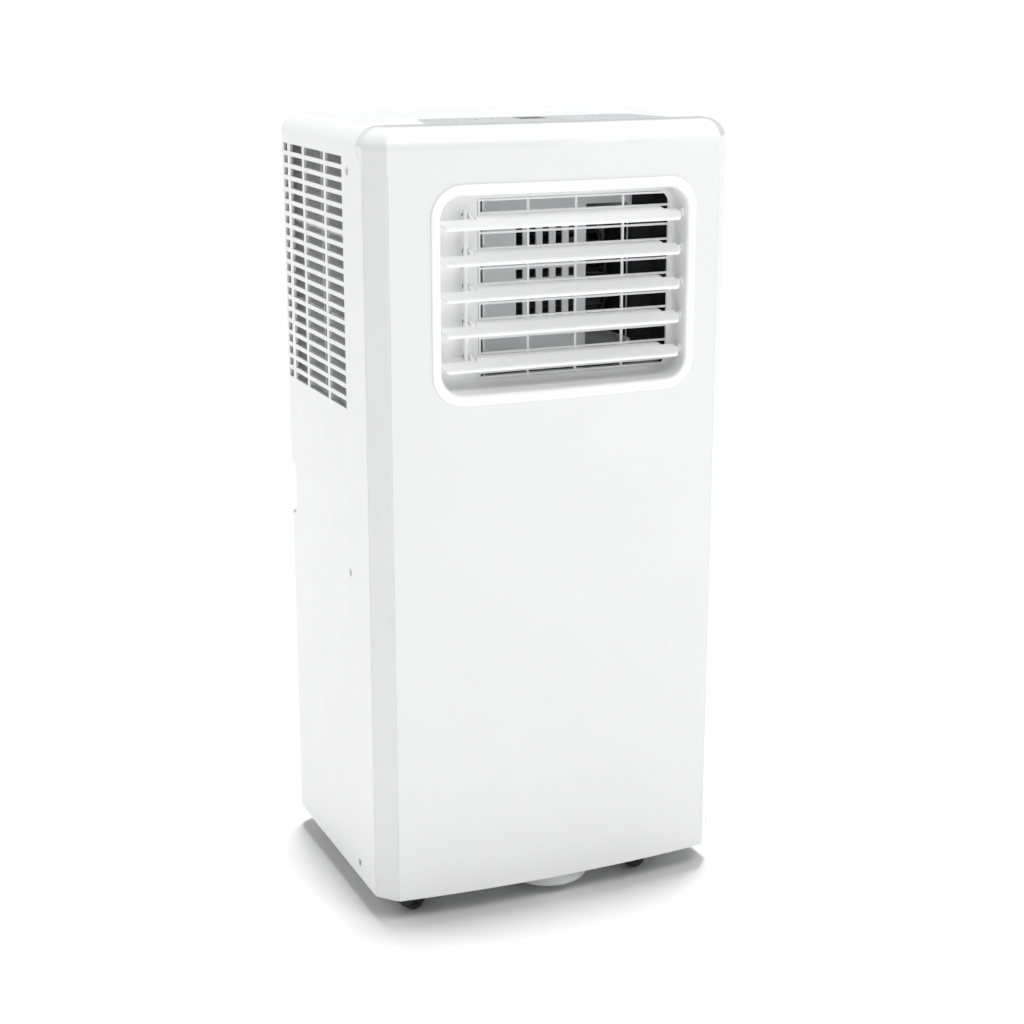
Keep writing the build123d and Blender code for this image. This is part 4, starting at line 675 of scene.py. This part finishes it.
def rounded_rectangle(half_x: float, half_y: float, radius: float, steps: int, side_steps: int) -> list[Pair]:
    """Points of a rounded rectangle, counter-clockwise, with divided sides.

    Args:
        half_x: half width.
        half_y: half height.
        radius: corner radius.
        steps: divisions of each corner.
        side_steps: divisions of each side.

    Returns:
        The points.
    """
    corners = []
    for index, (sx, sy) in enumerate(((1, 1), (-1, 1), (-1, -1), (1, -1))):
        centre = (sx * (half_x - radius), sy * (half_y - radius))
        corners.append(arc(radius, 90 * index, 90 * (index + 1), steps, centre))
    points = []
    for corner, following in zip(corners, corners[1:] + corners[:1]):
        points.extend(corner)
        (x0, y0), (x1, y1) = corner[-1], following[0]
        shares = [k / side_steps for k in range(1, side_steps)]
        points.extend((x0 + (x1 - x0) * share, y0 + (y1 - y0) * share) for share in shares)
    return points


def between(points: Sequence[Pair], x: float) -> float:
    """Value at x of a line through (x, value) points given left to right."""
    for (x0, v0), (x1, v1) in zip(points, points[1:]):
        if x0 <= x <= x1:
            return v0 if x1 == x0 else v0 + (v1 - v0) * (x - x0) / (x1 - x0)
    return points[0][1] if x < points[0][0] else points[-1][1]


# ----- Studio -----
@dataclass
class Lamp:
    """One soft box.

    Attributes:
        name: its name.
        place: where it hangs.
        aim: the point it faces.
        size: its width and height.
        power: its power in watts.
    """

    name: str
    place: Point
    aim: Point
    size: Pair
    power: float

    def build(self) -> None:
        """Adds the light."""
        data = bpy.data.lights.new(self.name, "AREA")
        data.shape = "RECTANGLE"
        data.size, data.size_y = self.size
        data.energy = self.power
        lamp = put(self.name, data)
        lamp.location = self.place
        direction = Vector(self.aim) - Vector(self.place)
        lamp.rotation_euler = direction.to_track_quat("-Z", "Y").to_euler()


@dataclass
class Studio:
    """Camera, open white floor and lights; lengths in metres, angles in degrees."""

    focal: float = 68.77
    sensor: float = 36.0
    yaw: float = 23.286
    pitch: float = 15.069
    stand: Point = (-0.6779, -1.6043, 0.7977)
    sight: float = 400.0
    floor_half: float = 150.0
    world: float = 0.30
    overhead: float = 2.7
    overhead_angle: float = 14.0
    overhead_lean: Pair = (-6.0, 4.0)
    lamps: tuple[Lamp, ...] = (
        Lamp("front_right", (1.95, -1.85, 1.25), (0.0, -0.13, 0.38), (1.3, 1.5), 8.0),
        Lamp("left_back", (-1.75, 1.65, 1.25), (-0.165, 0.0, 0.38), (1.2, 1.5), 19.0),
        Lamp("front_high", (0.3, -1.8, 2.5), (0.0, -0.13, 0.45), (1.6, 1.0), 27.0),
    )

    def build(self) -> None:
        """Builds the whole set."""
        self.camera()
        self.floor()
        self.lights()

    def camera(self) -> None:
        """Places the camera at a standing view from the left of the front."""
        data = bpy.data.cameras.new("camera")
        data.lens = self.focal
        data.sensor_width = self.sensor
        data.clip_end = self.sight
        camera = put("camera", data)
        camera.location = self.stand
        camera.rotation_euler = (math.radians(90 - self.pitch), 0.0, -math.radians(self.yaw))
        bpy.context.scene.camera = camera

    def floor(self) -> None:
        """Open floor out to the horizon."""
        half = self.floor_half
        mesh = bpy.data.meshes.new("studio_floor")
        mesh.from_pydata([(-half, -half, 0.0), (half, -half, 0.0), (half, half, 0.0), (-half, half, 0.0)],
                         [], [(0, 1, 2, 3)])
        mesh.materials.append(FLOOR_PAINT.material())
        put("studio_floor", mesh)

    def lights(self) -> None:
        """Dim white surround, even light from above, a soft box on each flank and one high in front."""
        world = bpy.data.worlds.new("studio")
        world.use_nodes = True
        surround = world.node_tree.nodes["Background"].inputs
        surround["Color"].default_value = (1.0, 1.0, 1.0, 1.0)
        surround["Strength"].default_value = self.world
        scene = bpy.context.scene
        scene.world = world
        data = bpy.data.lights.new("overhead", "SUN")
        data.energy = self.overhead
        data.angle = math.radians(self.overhead_angle)
        put("overhead", data).rotation_euler = (*(math.radians(lean) for lean in self.overhead_lean), 0.0)
        for lamp in self.lamps:
            lamp.build()
        scene.view_settings.view_transform = "Standard"
        scene.view_settings.look = "None"
        scene.view_settings.exposure = 0.0


# ----- Casing -----
class Casing:
    """Outer shells, screws, exhaust collar and rear fittings."""

    def build(self) -> None:
        """Dresses the shells."""
        dress(GLOSS_WHITE, "front_panel")
        dress(SATIN_WHITE, "rear_housing", "top_cover")
        dress(SATIN_WHITE, "exhaust_collar", bevel=0.5 * MM)
        dress(ZINC_STEEL, "side_screws")
        dress(RUBBER_BLACK, "drain_cap_lower", "drain_cap_middle", "cord_bush")


# ----- Air outlet -----
@dataclass
class Outlet:
    """Trim frame, blades, link bar and finger guard."""

    blades: int = 5
    bow: float = 8.7 * MM
    crown_half: float = 150.3 * MM
    proud: float = 1.4 * MM
    rim: Pair = (8.5 * MM, 9.5 * MM)
    wall_mm: float = 2.0
    boss_r: float = 3.6 * MM
    boss_reach: Pair = (-0.4 * MM, 1.6 * MM)
    tilt: float = 25.0
    chord: float = 22.0 * MM
    thick: float = 3.5 * MM
    tail: float = 1.9 * MM
    tab_chord: float = 12.0 * MM
    end_gaps: Pair = (3.5 * MM, 3.9 * MM)
    front_set: float = 1.6 * MM
    tab_right: float = 12.5 * MM
    rear_step: float = 3.5 * MM
    step_run: float = 3.4 * MM
    pin_r: float = 1.95 * MM
    crank: float = 12.0 * MM
    crank_pin_r: float = 1.45 * MM
    lug_x: float = -75.0 * MM
    lug_t: float = 2.4 * MM
    lug_root: float = 3.0 * MM
    lug_half: float = 1.6 * MM
    lug_r: float = 2.3 * MM
    lug_clear: float = 2.2 * MM
    head_t: float = 0.6 * MM
    head_r: float = 1.85 * MM
    nib: Pair = (0.8 * MM, 1.2 * MM)
    taper: tuple[Pair, ...] = ((0.0, 0.5), (0.5 * MM, 0.85), (1.6 * MM, 1.0))
    waist: float = 0.4
    crown_lift: Pair = (0.18 * MM, -0.02 * MM)
    belly: float = 0.1 * MM
    link_t: float = 3.0 * MM

    def build(self) -> None:
        """Builds the outlet's pieces."""
        self.trim()
        for number in range(1, self.blades + 1):
            self.blade(number)
        dress(LOUVRE_WHITE_PAINTED_LIGHT, "louvre_link", bevel=0.3 * MM)
        dress(GUARD_WHITE, "outlet_guard", bevel=0.35 * MM)

    def bow_back(self, x: float) -> float:
        """How far the front surface lies behind its crown line at x."""
        radius = (self.crown_half**2 + self.bow**2) / (2 * self.bow)
        return radius - math.sqrt(radius**2 - x * x)

    def axis(self, number: int) -> Vector:
        """Point on a blade's pivot axis."""
        return Vector(joint_named(f"louvre_{number}_tilt")["pos_m"])

    def trim(self) -> None:
        """Soft-edged trim ring that runs into the recess and its back plate."""
        low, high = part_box("louvre_frame")
        middle, half = centre_and_half("louvre_frame")
        guard, guard_half = centre_and_half("outlet_guard")
        crown, wall = low.y + self.proud, self.wall_mm
        back = (high.y - crown) / MM - wall
        recess = Vector((half.x - self.rim[0], 0.0, half.z - self.rim[1]))
        window = guard_half + Vector((0.3, 0.0, 0.3)) * MM
        # Size it follows, how far outside that, corner radius, depth, bowed: in millimetres.
        rows = (
            (recess, wall, 18.0 + wall, back + wall, False), (recess, wall, 18.0 + wall, 1.2, True),
            (half, -0.3, 27.0, 0.1, True), (half, 0.0, 27.0, -0.5, True), (half, -0.35, 27.0, -1.15, True),
            (half, -1.1, 26.2, -1.38, True), (recess, 2.6, 21.0, -1.38, True),
            (recess, 1.3, 19.8, -0.95, True), (recess, 0.45, 18.8, 0.4, True),
            (recess, 0.1, 18.2, 2.6, True), (recess, 0.0, 18.0, 10.0, False),
            (recess, -0.2, 18.0, back - 5.0, False), (recess, -1.0, 17.0, back - 1.8, False),
            (recess, -2.6, 16.0, back - 0.4, False), (recess, -4.6, 14.0, back, False),
            (window, 0.6, 2.2, back, False), (window, 0.0, 2.0, back + 0.5, False),
            (window, 0.0, 2.0, back + wall, False),
        )
        loops = []
        for size, growth, radius, depth, bowed in rows:
            centre = guard if size is window else middle
            outline = rounded_rectangle(size.x + growth * MM, size.z + growth * MM, radius * MM, 10, 10)
            points = [(centre.x + x, centre.z + z) for x, z in outline]
            loops.append([Vector((x, crown + depth * MM + (self.bow_back(x) if bowed else 0.0), z))
                          for x, z in points])
        shape = Shape()
        shape.loft(loops, ring=True)
        for number in range(1, self.blades + 1):
            axis = self.axis(number)
            for wall_x, inward in ((middle.x - recess.x, 1.0), (middle.x + recess.x, -1.0)):
                ends = [Vector((wall_x + inward * reach, axis.y, axis.z)) for reach in self.boss_reach]
                shape.rod(*ends, self.boss_r, 24)
        shape.finish("louvre_trim_frame", "chassis", LOUVRE_WHITE_PAINTED_LIGHT, "gloss_white", "louvre_frame", sharp=50.0)

    def section(self, front: float, rear: float, nose: float, tail: float) -> list[Pair]:
        """Cross-section of a blade: round nose, crowned top, thin tail.

        Args:
            front: reach ahead of the axis.
            rear: reach behind the axis.
            nose: thickness at the front.
            tail: thickness at the rear.

        Returns:
            (y, z) points in order.
        """
        ahead, behind, half = -front * self.waist, rear * self.waist, (nose + tail) / 4
        points = arc(nose / 2, 90, 270, 8, (-front + nose / 2, 0.0))
        points += [(ahead, -nose / 2 + self.belly), (behind, -half)]
        points += arc(tail / 2, -90, 90, 6, (rear - tail / 2, 0.0))
        return points + [(behind, half + self.crown_lift[0]), (ahead, nose / 2 + self.crown_lift[1])]

    def blade(self, number: int) -> None:
        """One blade with its stepped ends, pins, lug and crank pin.

        Args:
            number: counted from the top.
        """
        node = f"louvre_blade_{number}"
        low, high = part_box(node)
        left, right = low.x + self.end_gaps[0], high.x - self.end_gaps[1]
        half, tab = self.chord / 2, self.tab_chord / 2
        fronts = self.end(left, tab, half, 1) + self.end(right, tab, half, -1)
        rears = [(left, self.rear_step - 0.6 * MM), (left + 0.6 * MM, self.rear_step)]
        rears += self.round_step(self.lug_x + self.lug_t + self.lug_clear, self.rear_step, half, 1)
        rears += self.round_step(right - self.tab_right, tab, half, -1)
        rears += [(right - self.nib[0], tab), (right, tab - self.nib[1])]
        thick = [(left + run, share) for run, share in self.taper]
        thick += [(right - run, share) for run, share in reversed(self.taper)]
        tilt = Matrix.Rotation(math.radians(self.tilt), 4, "X")
        place = Matrix.Translation((0.0, *self.axis(number).yz)) @ tilt
        loops = []
        for x in sorted({x for x, _ in fronts + rears + thick}):
            share = between(thick, x)
            nose, tail = self.thick * share, self.tail * share
            section = self.section(between(fronts, x), between(rears, x), nose, tail)
            loops.append([place @ Vector((x, y, z)) for y, z in section])
        shape = Shape()
        shape.loft(loops)
        self.pin(shape, place, (low.x, left + MM), 0.0, self.pin_r, 20)
        self.pin(shape, place, (right - MM, high.x), 0.0, self.pin_r, 20)
        self.lug(shape, place)
        shape.finish(f"{node}_moulding", f"louvre_{number}", LOUVRE_WHITE_PAINTED_LIGHT, "gloss_white", node, sharp=42.0)

    def pin(self, shape: Shape, place: Matrix, span: Pair, y: float, radius: float, steps: int) -> None:
        """Round pin along a blade.

        Args:
            shape: the blade's mesh.
            place: placement of the blade.
            span: x of its two ends.
            y: its distance behind the axis.
            radius: its radius.
            steps: divisions of the circle.
        """
        shape.rod(*(place @ Vector((x, y, 0.0)) for x in span), radius, steps)

    def end(self, tip: float, tab: float, half: float, side: int) -> list[Pair]:
        """Front edge near one end: short tab, then a rounded step out to the full chord.

        Args:
            tip: x of the blade's end.
            tab: front reach of the tab.
            half: front reach of the full chord.
            side: 1 at the left end, -1 at the right.

        Returns:
            (x, reach) points, left to right.
        """
        row = [(tip, tab - self.nib[1]), (tip + side * self.nib[0], tab)]
        step = self.round_step(tip + side * self.front_set, tab, half, side)
        return row + step if side == 1 else step + row[::-1]

    def round_step(self, start: float, short: float, full: float, side: int) -> list[Pair]:
        """Quarter-round step between two reaches.

        Args:
            start: x where the step begins.
            short: the smaller reach.
            full: the larger reach.
            side: 1 when it grows to the right, -1 when it shrinks to the right.

        Returns:
            (x, reach) points, left to right.
        """
        row = [(start - side * 0.2 * MM, short)]
        run = side * self.step_run
        row += [(start + run * (1 - c), short + (full - short) * s) for c, s in arc(1.0, 0, 90, 6)]
        return row if side == 1 else row[::-1]

    def lug(self, shape: Shape, place: Matrix) -> None:
        """Crank lug, its pin and the pin's head at the rear of a blade.

        Args:
            shape: the blade's mesh.
            place: placement of the blade.
        """
        outline = [(self.lug_root, -self.lug_half), (self.lug_root, self.lug_half)]
        outline += arc(self.lug_r, 90, -90, 8, (self.crank, 0.0))
        faces = (self.lug_x, self.lug_x + self.lug_t)
        shape.loft([[place @ Vector((x, y, z)) for y, z in outline] for x in faces])
        head = self.lug_x - self.link_t - self.head_t
        end = head - self.head_t
        self.pin(shape, place, (end, self.lug_x + MM), self.crank, self.crank_pin_r, 16)
        self.pin(shape, place, (end, head), self.crank, self.head_r, 16)


# ----- Air path -----
@dataclass
class AirFilter:
    """Slide-out frame with a woven net."""

    side: Side
    border: float = 7.0 * MM
    rib: float = 3.0 * MM
    ribs: int = 2
    post: float = 2.4 * MM
    strand: float = 0.35 * MM
    pitch: float = 2.0 * MM
    block: float = 15.0 * MM
    tab_reach: float = 7.0 * MM
    tab_half: float = 18.0 * MM
    grips: int = 5
    grip_pitch: float = 6.0 * MM
    grip_half: float = 0.8 * MM

    def build(self) -> None:
        """Builds frame and net."""
        node = f"air_filter_{self.side.word}"
        low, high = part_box(node)
        rear = high.y - self.tab_reach
        span_y, span_z = (low.y + self.border, rear - self.block), (low.z + self.border, high.z - self.border)
        shape = Shape()

        def slab(inset: float, y: Pair, z: Pair) -> None:
            """Adds a bar as thick as the filter less an inset, between two y and two z."""
            shape.box((low.x + inset, y[0], z[0]), (high.x - inset, y[1], z[1]))

        slab(0.0, (low.y, rear), (low.z, span_z[0]))
        slab(0.0, (low.y, rear), (span_z[1], high.z))
        slab(0.0, (low.y, span_y[0]), span_z)
        slab(0.0, (span_y[1], rear), span_z)
        step = (span_z[1] - span_z[0]) / (self.ribs + 1)
        for i in range(self.ribs):
            z = span_z[0] + step * (i + 1)
            slab(MM, span_y, (z - self.rib / 2, z + self.rib / 2))
        middle_y, middle_z = sum(span_y) / 2, (low.z + high.z) / 2
        slab(1.5 * MM, (middle_y - self.post / 2, middle_y + self.post / 2), span_z)
        slab(MM, (rear - MM, high.y), (middle_z - self.tab_half, middle_z + self.tab_half))
        for i in range(self.grips):
            z = middle_z + (i - self.grips // 2) * self.grip_pitch
            slab(0.5 * MM, (rear + 2.0 * MM, high.y - 1.5 * MM), (z - self.grip_half, z + self.grip_half))
        body = f"filter_{self.side.word}"
        rails = f"filter_rails_{self.side.word}"
        shape.finish(rails, body, FILTER_WHITE, "filter_white", node, bevel=0.6 * MM)
        self.net(span_y, span_z, (low.x + high.x) / 2, body)

    def net(self, span_y: Pair, span_z: Pair, middle: float, body: str) -> None:
        """Crossed strands in the frame's opening.

        Args:
            span_y: opening along Y.
            span_z: opening along Z.
            middle: plane of the net.
            body: the body it moves with.
        """
        shape = Shape()
        half = self.strand / 2
        for stacked, crossed, x in ((span_z, span_y, middle + half), (span_y, span_z, middle - half)):
            for i in range(1, int((stacked[1] - stacked[0]) / self.pitch)):
                place = stacked[0] + i * self.pitch
                along, across = (crossed[0] - MM, crossed[1] + MM), (place - half, place + half)
                y, z = (along, across) if stacked is span_z else (across, along)
                shape.box((x - half, y[0], z[0]), (x + half, y[1], z[1]))
        shape.finish(f"filter_net_{self.side.word}", body, FILTER_WHITE, "filter_white")


@dataclass
class FinCoil:
    """Fin pack on tube rows, with end plates and return bends.

    Attributes:
        node: the plain coil that it stands for.
        along: direction in which the fins are stacked.
        rows: number of tube rows.
        first_near: first row paired by a bend at the low end.
        first_far: first row paired by a bend at the high end.
    """

    node: str
    along: Axis
    rows: int
    first_near: int = 1
    first_far: int = 0
    tube_r: float = 4.0 * MM
    tube_fit: float = 0.96
    pitch: float = 1.8 * MM
    fin_t: float = 0.22 * MM
    ripple: float = 0.35 * MM
    folds: int = 4
    plate_t: float = 1.0 * MM

    def build(self) -> None:
        """Builds the fins, the plates and the tubes."""
        low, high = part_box(self.node)
        a = self.along.value
        bend = (high.z - low.z) / self.rows / 2 + self.tube_r
        near, far = low[a] + bend, high[a] - bend
        fins = Shape()
        for i in range(int((far - near - 2 * self.plate_t) / self.pitch)):
            fins.loft(self.fin(near + self.plate_t + (i + 0.5) * self.pitch, low, high))
        fins.finish(self.node + "_fins", "chassis", FIN_ALUMINIUM, "coil_aluminium", self.node, sharp=30.0)
        plates = Shape()
        for start in (near, far - self.plate_t):
            corner_low, corner_high = Vector(low), Vector(high)
            corner_low[a], corner_high[a] = start, start + self.plate_t
            plates.box(corner_low, corner_high)
        plates.finish(self.node + "_end_plates", "chassis", GALVANISED, "motor_steel", bevel=0.2 * MM)
        self.tubes(near, far)

    def at(self, along: float, across: float, z: float) -> Vector:
        """Point at a place along the stack, across it and up."""
        return Vector((along, across, z) if self.along is Axis.X else (across, along, z))

    def fin(self, position: float, low: Vector, high: Vector) -> list[list[Vector]]:
        """Two skins of one rippled fin.

        Args:
            position: place along the stack.
            low: lowest corner of the coil.
            high: highest corner of the coil.

        Returns:
            Loops of the fin from bottom to top.
        """
        b = 1 - self.along.value
        columns = []
        for i in range(self.folds + 1):
            across = low[b] + (high[b] - low[b]) * i / self.folds
            columns.append((across, position + (self.ripple if i % 2 else -self.ripple) / 2))
        half = self.fin_t / 2
        skin = [(stack - half, across) for across, stack in columns]
        skin += [(stack + half, across) for across, stack in reversed(columns)]
        return [[self.at(stack, across, z) for stack, across in skin]
                for z in (low.z + 0.3 * MM, high.z - 0.3 * MM)]

    def tubes(self, near: float, far: float) -> None:
        """Straight tubes and their return bends.

        Args:
            near: low end of the pack.
            far: high end of the pack.
        """
        low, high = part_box(self.node)
        across = ((low + high) / 2)[1 - self.along.value]
        step = (high.z - low.z) / self.rows
        heights = [low.z + step * (i + 0.5) for i in range(self.rows)]
        radius = self.tube_r * self.tube_fit
        shape = Shape()
        for z in heights:
            shape.rod(self.at(near - 0.5 * MM, across, z), self.at(far + 0.5 * MM, across, z), radius, 16)
        for start, outward, first in ((near, -1.0, self.first_near), (far, 1.0, self.first_far)):
            for lower, upper in zip(heights[first::2], heights[first + 1::2]):
                bend = arc((upper - lower) / 2, -90, 90, 12, (0.0, (upper + lower) / 2))
                shape.tube([self.at(start + outward * reach, across, z) for reach, z in bend], radius, 16)
        shape.finish(self.node + "_tubes", "chassis", COPPER, "pipe_copper", sharp=60.0)


@dataclass
class AirPath:
    """Filters, coils, scrolls, blower wheels and a near-black sheet of painted shade in the outlet duct."""

    shade_sheet_t: float = 1.2 * MM
    shade_sheet_gap: float = 0.6 * MM
    shade_sheet_back: float = 27.0 * MM
    shade_sheet_deep: float = 52.0 * MM
    shade_sheet_cheek: float = 93.8 * MM
    shade_sheet_short: float = 20.0 * MM

    def build(self) -> None:
        """Builds the air path."""
        for side in Side:
            AirFilter(side).build()
            FinCoil(f"evaporator_coil_{side.word}", Axis.Y, 8).build()
        FinCoil("condenser_coil", Axis.X, 7).build()
        dress(INNER_WHITE, "blower_scroll", "fan_scroll", "exhaust_duct", "middle_tray", bevel=0.4 * MM)
        dress(WHEEL_DARK, "blower_wheel", "fan_wheel", "splash_wheel")
        self.painted_shade_sheet()

    def painted_shade_sheet(self) -> None:
        """Near-black sheet on the right cheek of the outlet duct: painted shade that stands in for the shadow
        deep in the duct, given a coarse foam-like grain.
        """
        low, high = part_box("outlet_guard")
        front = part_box("louvre_frame")[1].y + self.shade_sheet_gap
        back = front + self.shade_sheet_back
        cheek, right = self.shade_sheet_cheek, high.x
        shape = Shape()
        shape.box((right - self.shade_sheet_t, front, low.z), (right, back, high.z))
        shape.box((cheek, back - self.shade_sheet_t, low.z), (right - self.shade_sheet_t, back, high.z))
        shape.box((cheek - self.shade_sheet_t, back, low.z + self.shade_sheet_short),
                  (cheek, back + self.shade_sheet_deep, high.z - self.shade_sheet_short))
        shape.finish("duct_painted_shade_sheet", "chassis", PAINTED_SHADE_BLACK, "rubber_black")


# ----- Controls -----
class Sign(Enum):
    """Generic key signs."""

    POWER = 1
    MOON = 2
    CLOCK = 3
    FAN = 4
    MINUS = 5
    PLUS = 6
    FLAKE = 7


@dataclass
class Keypad:
    """Inlay, keys with their signs, and the display."""

    sign_size: float = 1.75 * MM
    line: float = 0.42 * MM
    sign_t: float = 0.08 * MM
    cap: float = 3.0 * MM
    stem: float = 1.5 * MM
    dome: tuple[Pair, ...] = ((0.5 * MM, 0.0), (0.25 * MM, 0.12 * MM), (0.07 * MM, 0.4 * MM), (0.0, 1.0 * MM))
    digit: Pair = (5.0 * MM, 9.0 * MM)
    digit_gap: float = 4.2 * MM
    digit_bar: float = 1.1 * MM

    def build(self) -> None:
        """Builds the control area."""
        dress(INLAY_GREY, "control_inlay")
        dress(DISPLAY_BLACK, "display_window", bevel=0.2 * MM)
        dress(BOARD_GREEN, "control_board")
        for number, sign in enumerate(Sign, start=1):
            self.key(number, sign)
        self.digits()

    def key(self, number: int, sign: Sign) -> None:
        """One key with a softly domed cap and its sign.

        Args:
            number: counted from the left.
            sign: what it shows.
        """
        node, body = f"button_{number}", f"key_{number}"
        low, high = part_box(node)
        centre, half = centre_and_half(node)
        centre.z = 0.0
        top, skirt = high.z - self.sign_t, high.z - self.cap
        shape = Shape()
        loops = []
        for z, inset in ((skirt, 0.0), *((top - drop, inset) for drop, inset in self.dome)):
            outline = rounded_rectangle(half.x - inset, half.y - inset, half.y - inset - 0.01 * MM, 8, 3)
            loops.append([centre + Vector((x, y, z)) for x, y in outline])
        shape.loft(loops)
        stem = self.stem
        shape.box((centre.x - stem, centre.y - stem, low.z),
                  (centre.x + stem, centre.y + stem, skirt + 0.5 * MM))
        shape.finish(f"{body}_cap", body, KEY_GREY, "key_grey", node, sharp=35.0)
        ink = Shape()
        place = Matrix.Translation(centre + Vector((0.0, 0.0, top - 0.02 * MM)))
        for outline in self.strokes(sign):
            ink.prism([(x * self.sign_size, y * self.sign_size) for x, y in outline], self.sign_t, place)
        ink.finish(f"{body}_sign", body, PRINT_DARK, "display_dark")

    @property
    def half_line(self) -> float:
        """Half the line's width, in units of the sign's half size."""
        return self.line / self.sign_size / 2

    def bar(self, start: Pair, end: Pair) -> list[Pair]:
        """Outline of a straight stroke.

        Args:
            start: one end, in units of the sign's half size.
            end: the other end.

        Returns:
            Four corners.
        """
        x, y = Vector((end[0] - start[0], end[1] - start[1])).normalized() * self.half_line
        return [(start[0] - y, start[1] + x), (start[0] + y, start[1] - x),
                (end[0] + y, end[1] - x), (end[0] - y, end[1] + x)]

    def curve(self, radius: float, start: float, end: float, centre: Pair = (0.0, 0.0),
              width: float = 1.0) -> list[Pair]:
        """Outline of a curved stroke.

        Args:
            radius: radius of its middle line.
            start: first angle in degrees.
            end: last angle in degrees.
            centre: its centre.
            width: share of the normal line width.

        Returns:
            Points of the outline.
        """
        half = self.half_line * width
        return arc(radius + half, start, end, 20, centre) + arc(radius - half, end, start, 20, centre)

    def strokes(self, sign: Sign) -> list[list[Pair]]:
        """Outlines that draw one sign, in units of its half size."""
        level = self.bar((-0.8, 0), (0.8, 0))
        if sign is Sign.POWER:
            return [self.curve(0.8, 125, 415), self.bar((0, 0.25), (0, 1.1))]
        if sign is Sign.CLOCK:
            return [self.curve(0.9, 0, 359), self.bar((0, 0), (0, 0.6)), self.bar((0, 0), (0.45, -0.2))]
        if sign is Sign.MINUS:
            return [level]
        if sign is Sign.PLUS:
            return [level, self.bar((0, -0.8), (0, -0.12)), self.bar((0, 0.12), (0, 0.8))]
        if sign is Sign.MOON:
            return [arc(0.9, 50, 310, 20) + arc(0.75, 245, 115, 10, (0.55, 0.0))]
        if sign is Sign.FAN:
            roots = zip((90, 210, 330), arc(0.5, 90, 330, 2))
            vanes = [self.curve(0.32, turn - 150, turn + 60, root, 1.3) for turn, root in roots]
            return vanes + [self.curve(0.1, 0, 359, width=0.8)]
        arms = []
        for turn in range(0, 360, 60):
            (c, s), = arc(1.0, turn, turn, 1)[:1]
            arms.append(self.bar((0.12 * c, 0.12 * s), (c, s)))
            root = (0.55 * c, 0.55 * s)
            arms += [self.bar(root, tip) for tip in arc(0.35, turn - 35, turn + 35, 1, root)]
        return arms

    def digits(self) -> None:
        """Two unlit seven-bar digits under the display window's surface."""
        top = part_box("display_window")[1].z
        centre, _ = centre_and_half("display_window")
        shape = Shape()
        (width, height), bar = self.digit, self.digit_bar
        for middle in (centre.x - self.digit_gap, centre.x + self.digit_gap):
            bars = [(0.0, dy, width / 2 - bar, bar / 2) for dy in (height / 2, 0.0, -height / 2)]
            bars += [(sx * width / 2, sy * height / 4, bar / 2, height / 4 - bar * 0.7)
                     for sx in (-1, 1) for sy in (-1, 1)]
            for dx, dy, half_x, half_y in bars:
                x, y = middle + dx, centre.y + dy
                shape.box((x - half_x, y - half_y, top - 0.02 * MM),
                          (x + half_x, y + half_y, top + 0.01 * MM))
        shape.finish("display_digits", "chassis", DIGIT_GREY, "display_dark")


# ----- Base and casters -----
@dataclass
class Caster:
    """One swivel caster; its wheel is turned with a grooved tread and a hub cap."""

    name: str
    radius: float = 14.0 * MM
    width: float = 12.0 * MM
    bore: float = 2.1 * MM
    spokes: int = 6
    spoke_half: float = 0.6 * MM

    def build(self) -> None:
        """Dresses the fork and turns the wheel."""
        dress(CASTER_BLACK, f"caster_fork_{self.name}", bevel=0.5 * MM)
        joint = joint_named(f"caster_{self.name}_roll")
        axis = Vector(joint["axis"]).normalized()
        turn = Vector((0.0, 0.0, 1.0)).rotation_difference(axis).to_matrix().to_4x4()
        place = Matrix.Translation(joint["pos_m"]) @ turn
        r, w = self.radius / MM, self.width / 2 / MM
        # Radius and height of one half of the wheel, from the bore out to the tread's groove, in millimetres.
        half = [
            (self.bore / MM, w - 2.2), (3.6, w - 2.2), (4.0, w - 1.2), (5.2, w - 1.2), (5.6, w - 2.6),
            (9.0, w - 2.6), (9.8, w - 0.3), (10.4, w), (r - 1.8, w), (r - 0.7, w - 0.5), (r - 0.1, w - 1.8),
            (r, w - 2.6), (r, 0.7), (r - 0.35, 0.35),
        ]
        profile = [(x * MM, z * MM) for x, z in half] + [(x * MM, -z * MM) for x, z in reversed(half)]
        shape = Shape()
        shape.lathe(profile, place, 64)
        for i in range(self.spokes):
            spoke = place @ Matrix.Rotation(2 * math.pi * i / self.spokes, 4, "Z")
            for low, high in ((1.3 - w, 2.7 - w), (w - 2.7, w - 1.3)):
                shape.box((5.0 * MM, -self.spoke_half, low * MM),
                          (9.9 * MM, self.spoke_half, high * MM), spoke)
        shape.finish(f"wheel_{self.name}", f"roller_{self.name}", TREAD_BLACK, "caster_tread",
                     f"caster_wheel_{self.name}", sharp=35.0)


class Base:
    """Base pan and its four casters."""

    def build(self) -> None:
        """Builds the base."""
        dress(PAN_GREY, "base_pan", bevel=0.5 * MM)
        for name in ("front_left", "front_right", "rear_left", "rear_right"):
            Caster(name).build()


# ----- Works -----
class Works:
    """Compressor, motors, pipes and electrics."""

    def build(self) -> None:
        """Dresses the inner parts."""
        dress(ENAMEL_BLACK, "compressor")
        dress(RUBBER_BLACK, "compressor_grommets")
        dress(ZINC_STEEL, "compressor_bolts", "blower_shaft", "fan_shaft")
        dress(COPPER, "refrigerant_pipes")
        dress(GALVANISED, "blower_motor", "fan_motor", "splash_motor", "electrical_box", "electrical_cover")
        dress(CAN_ALUMINIUM, "capacitor")
        dress(BOARD_GREEN, "power_board")


def main() -> None:
    """Builds every sub-assembly in order and reports it."""
    logging.basicConfig(level=logging.INFO, format="%(name)s: %(message)s")
    assemblies = [Studio(), Casing(), Outlet(), AirPath(), Keypad(), Base(), Works()]
    for assembly in assemblies:
        assembly.build()
        LOG.info("built %s", type(assembly).__name__)


if __name__ == "__main__":
    main()
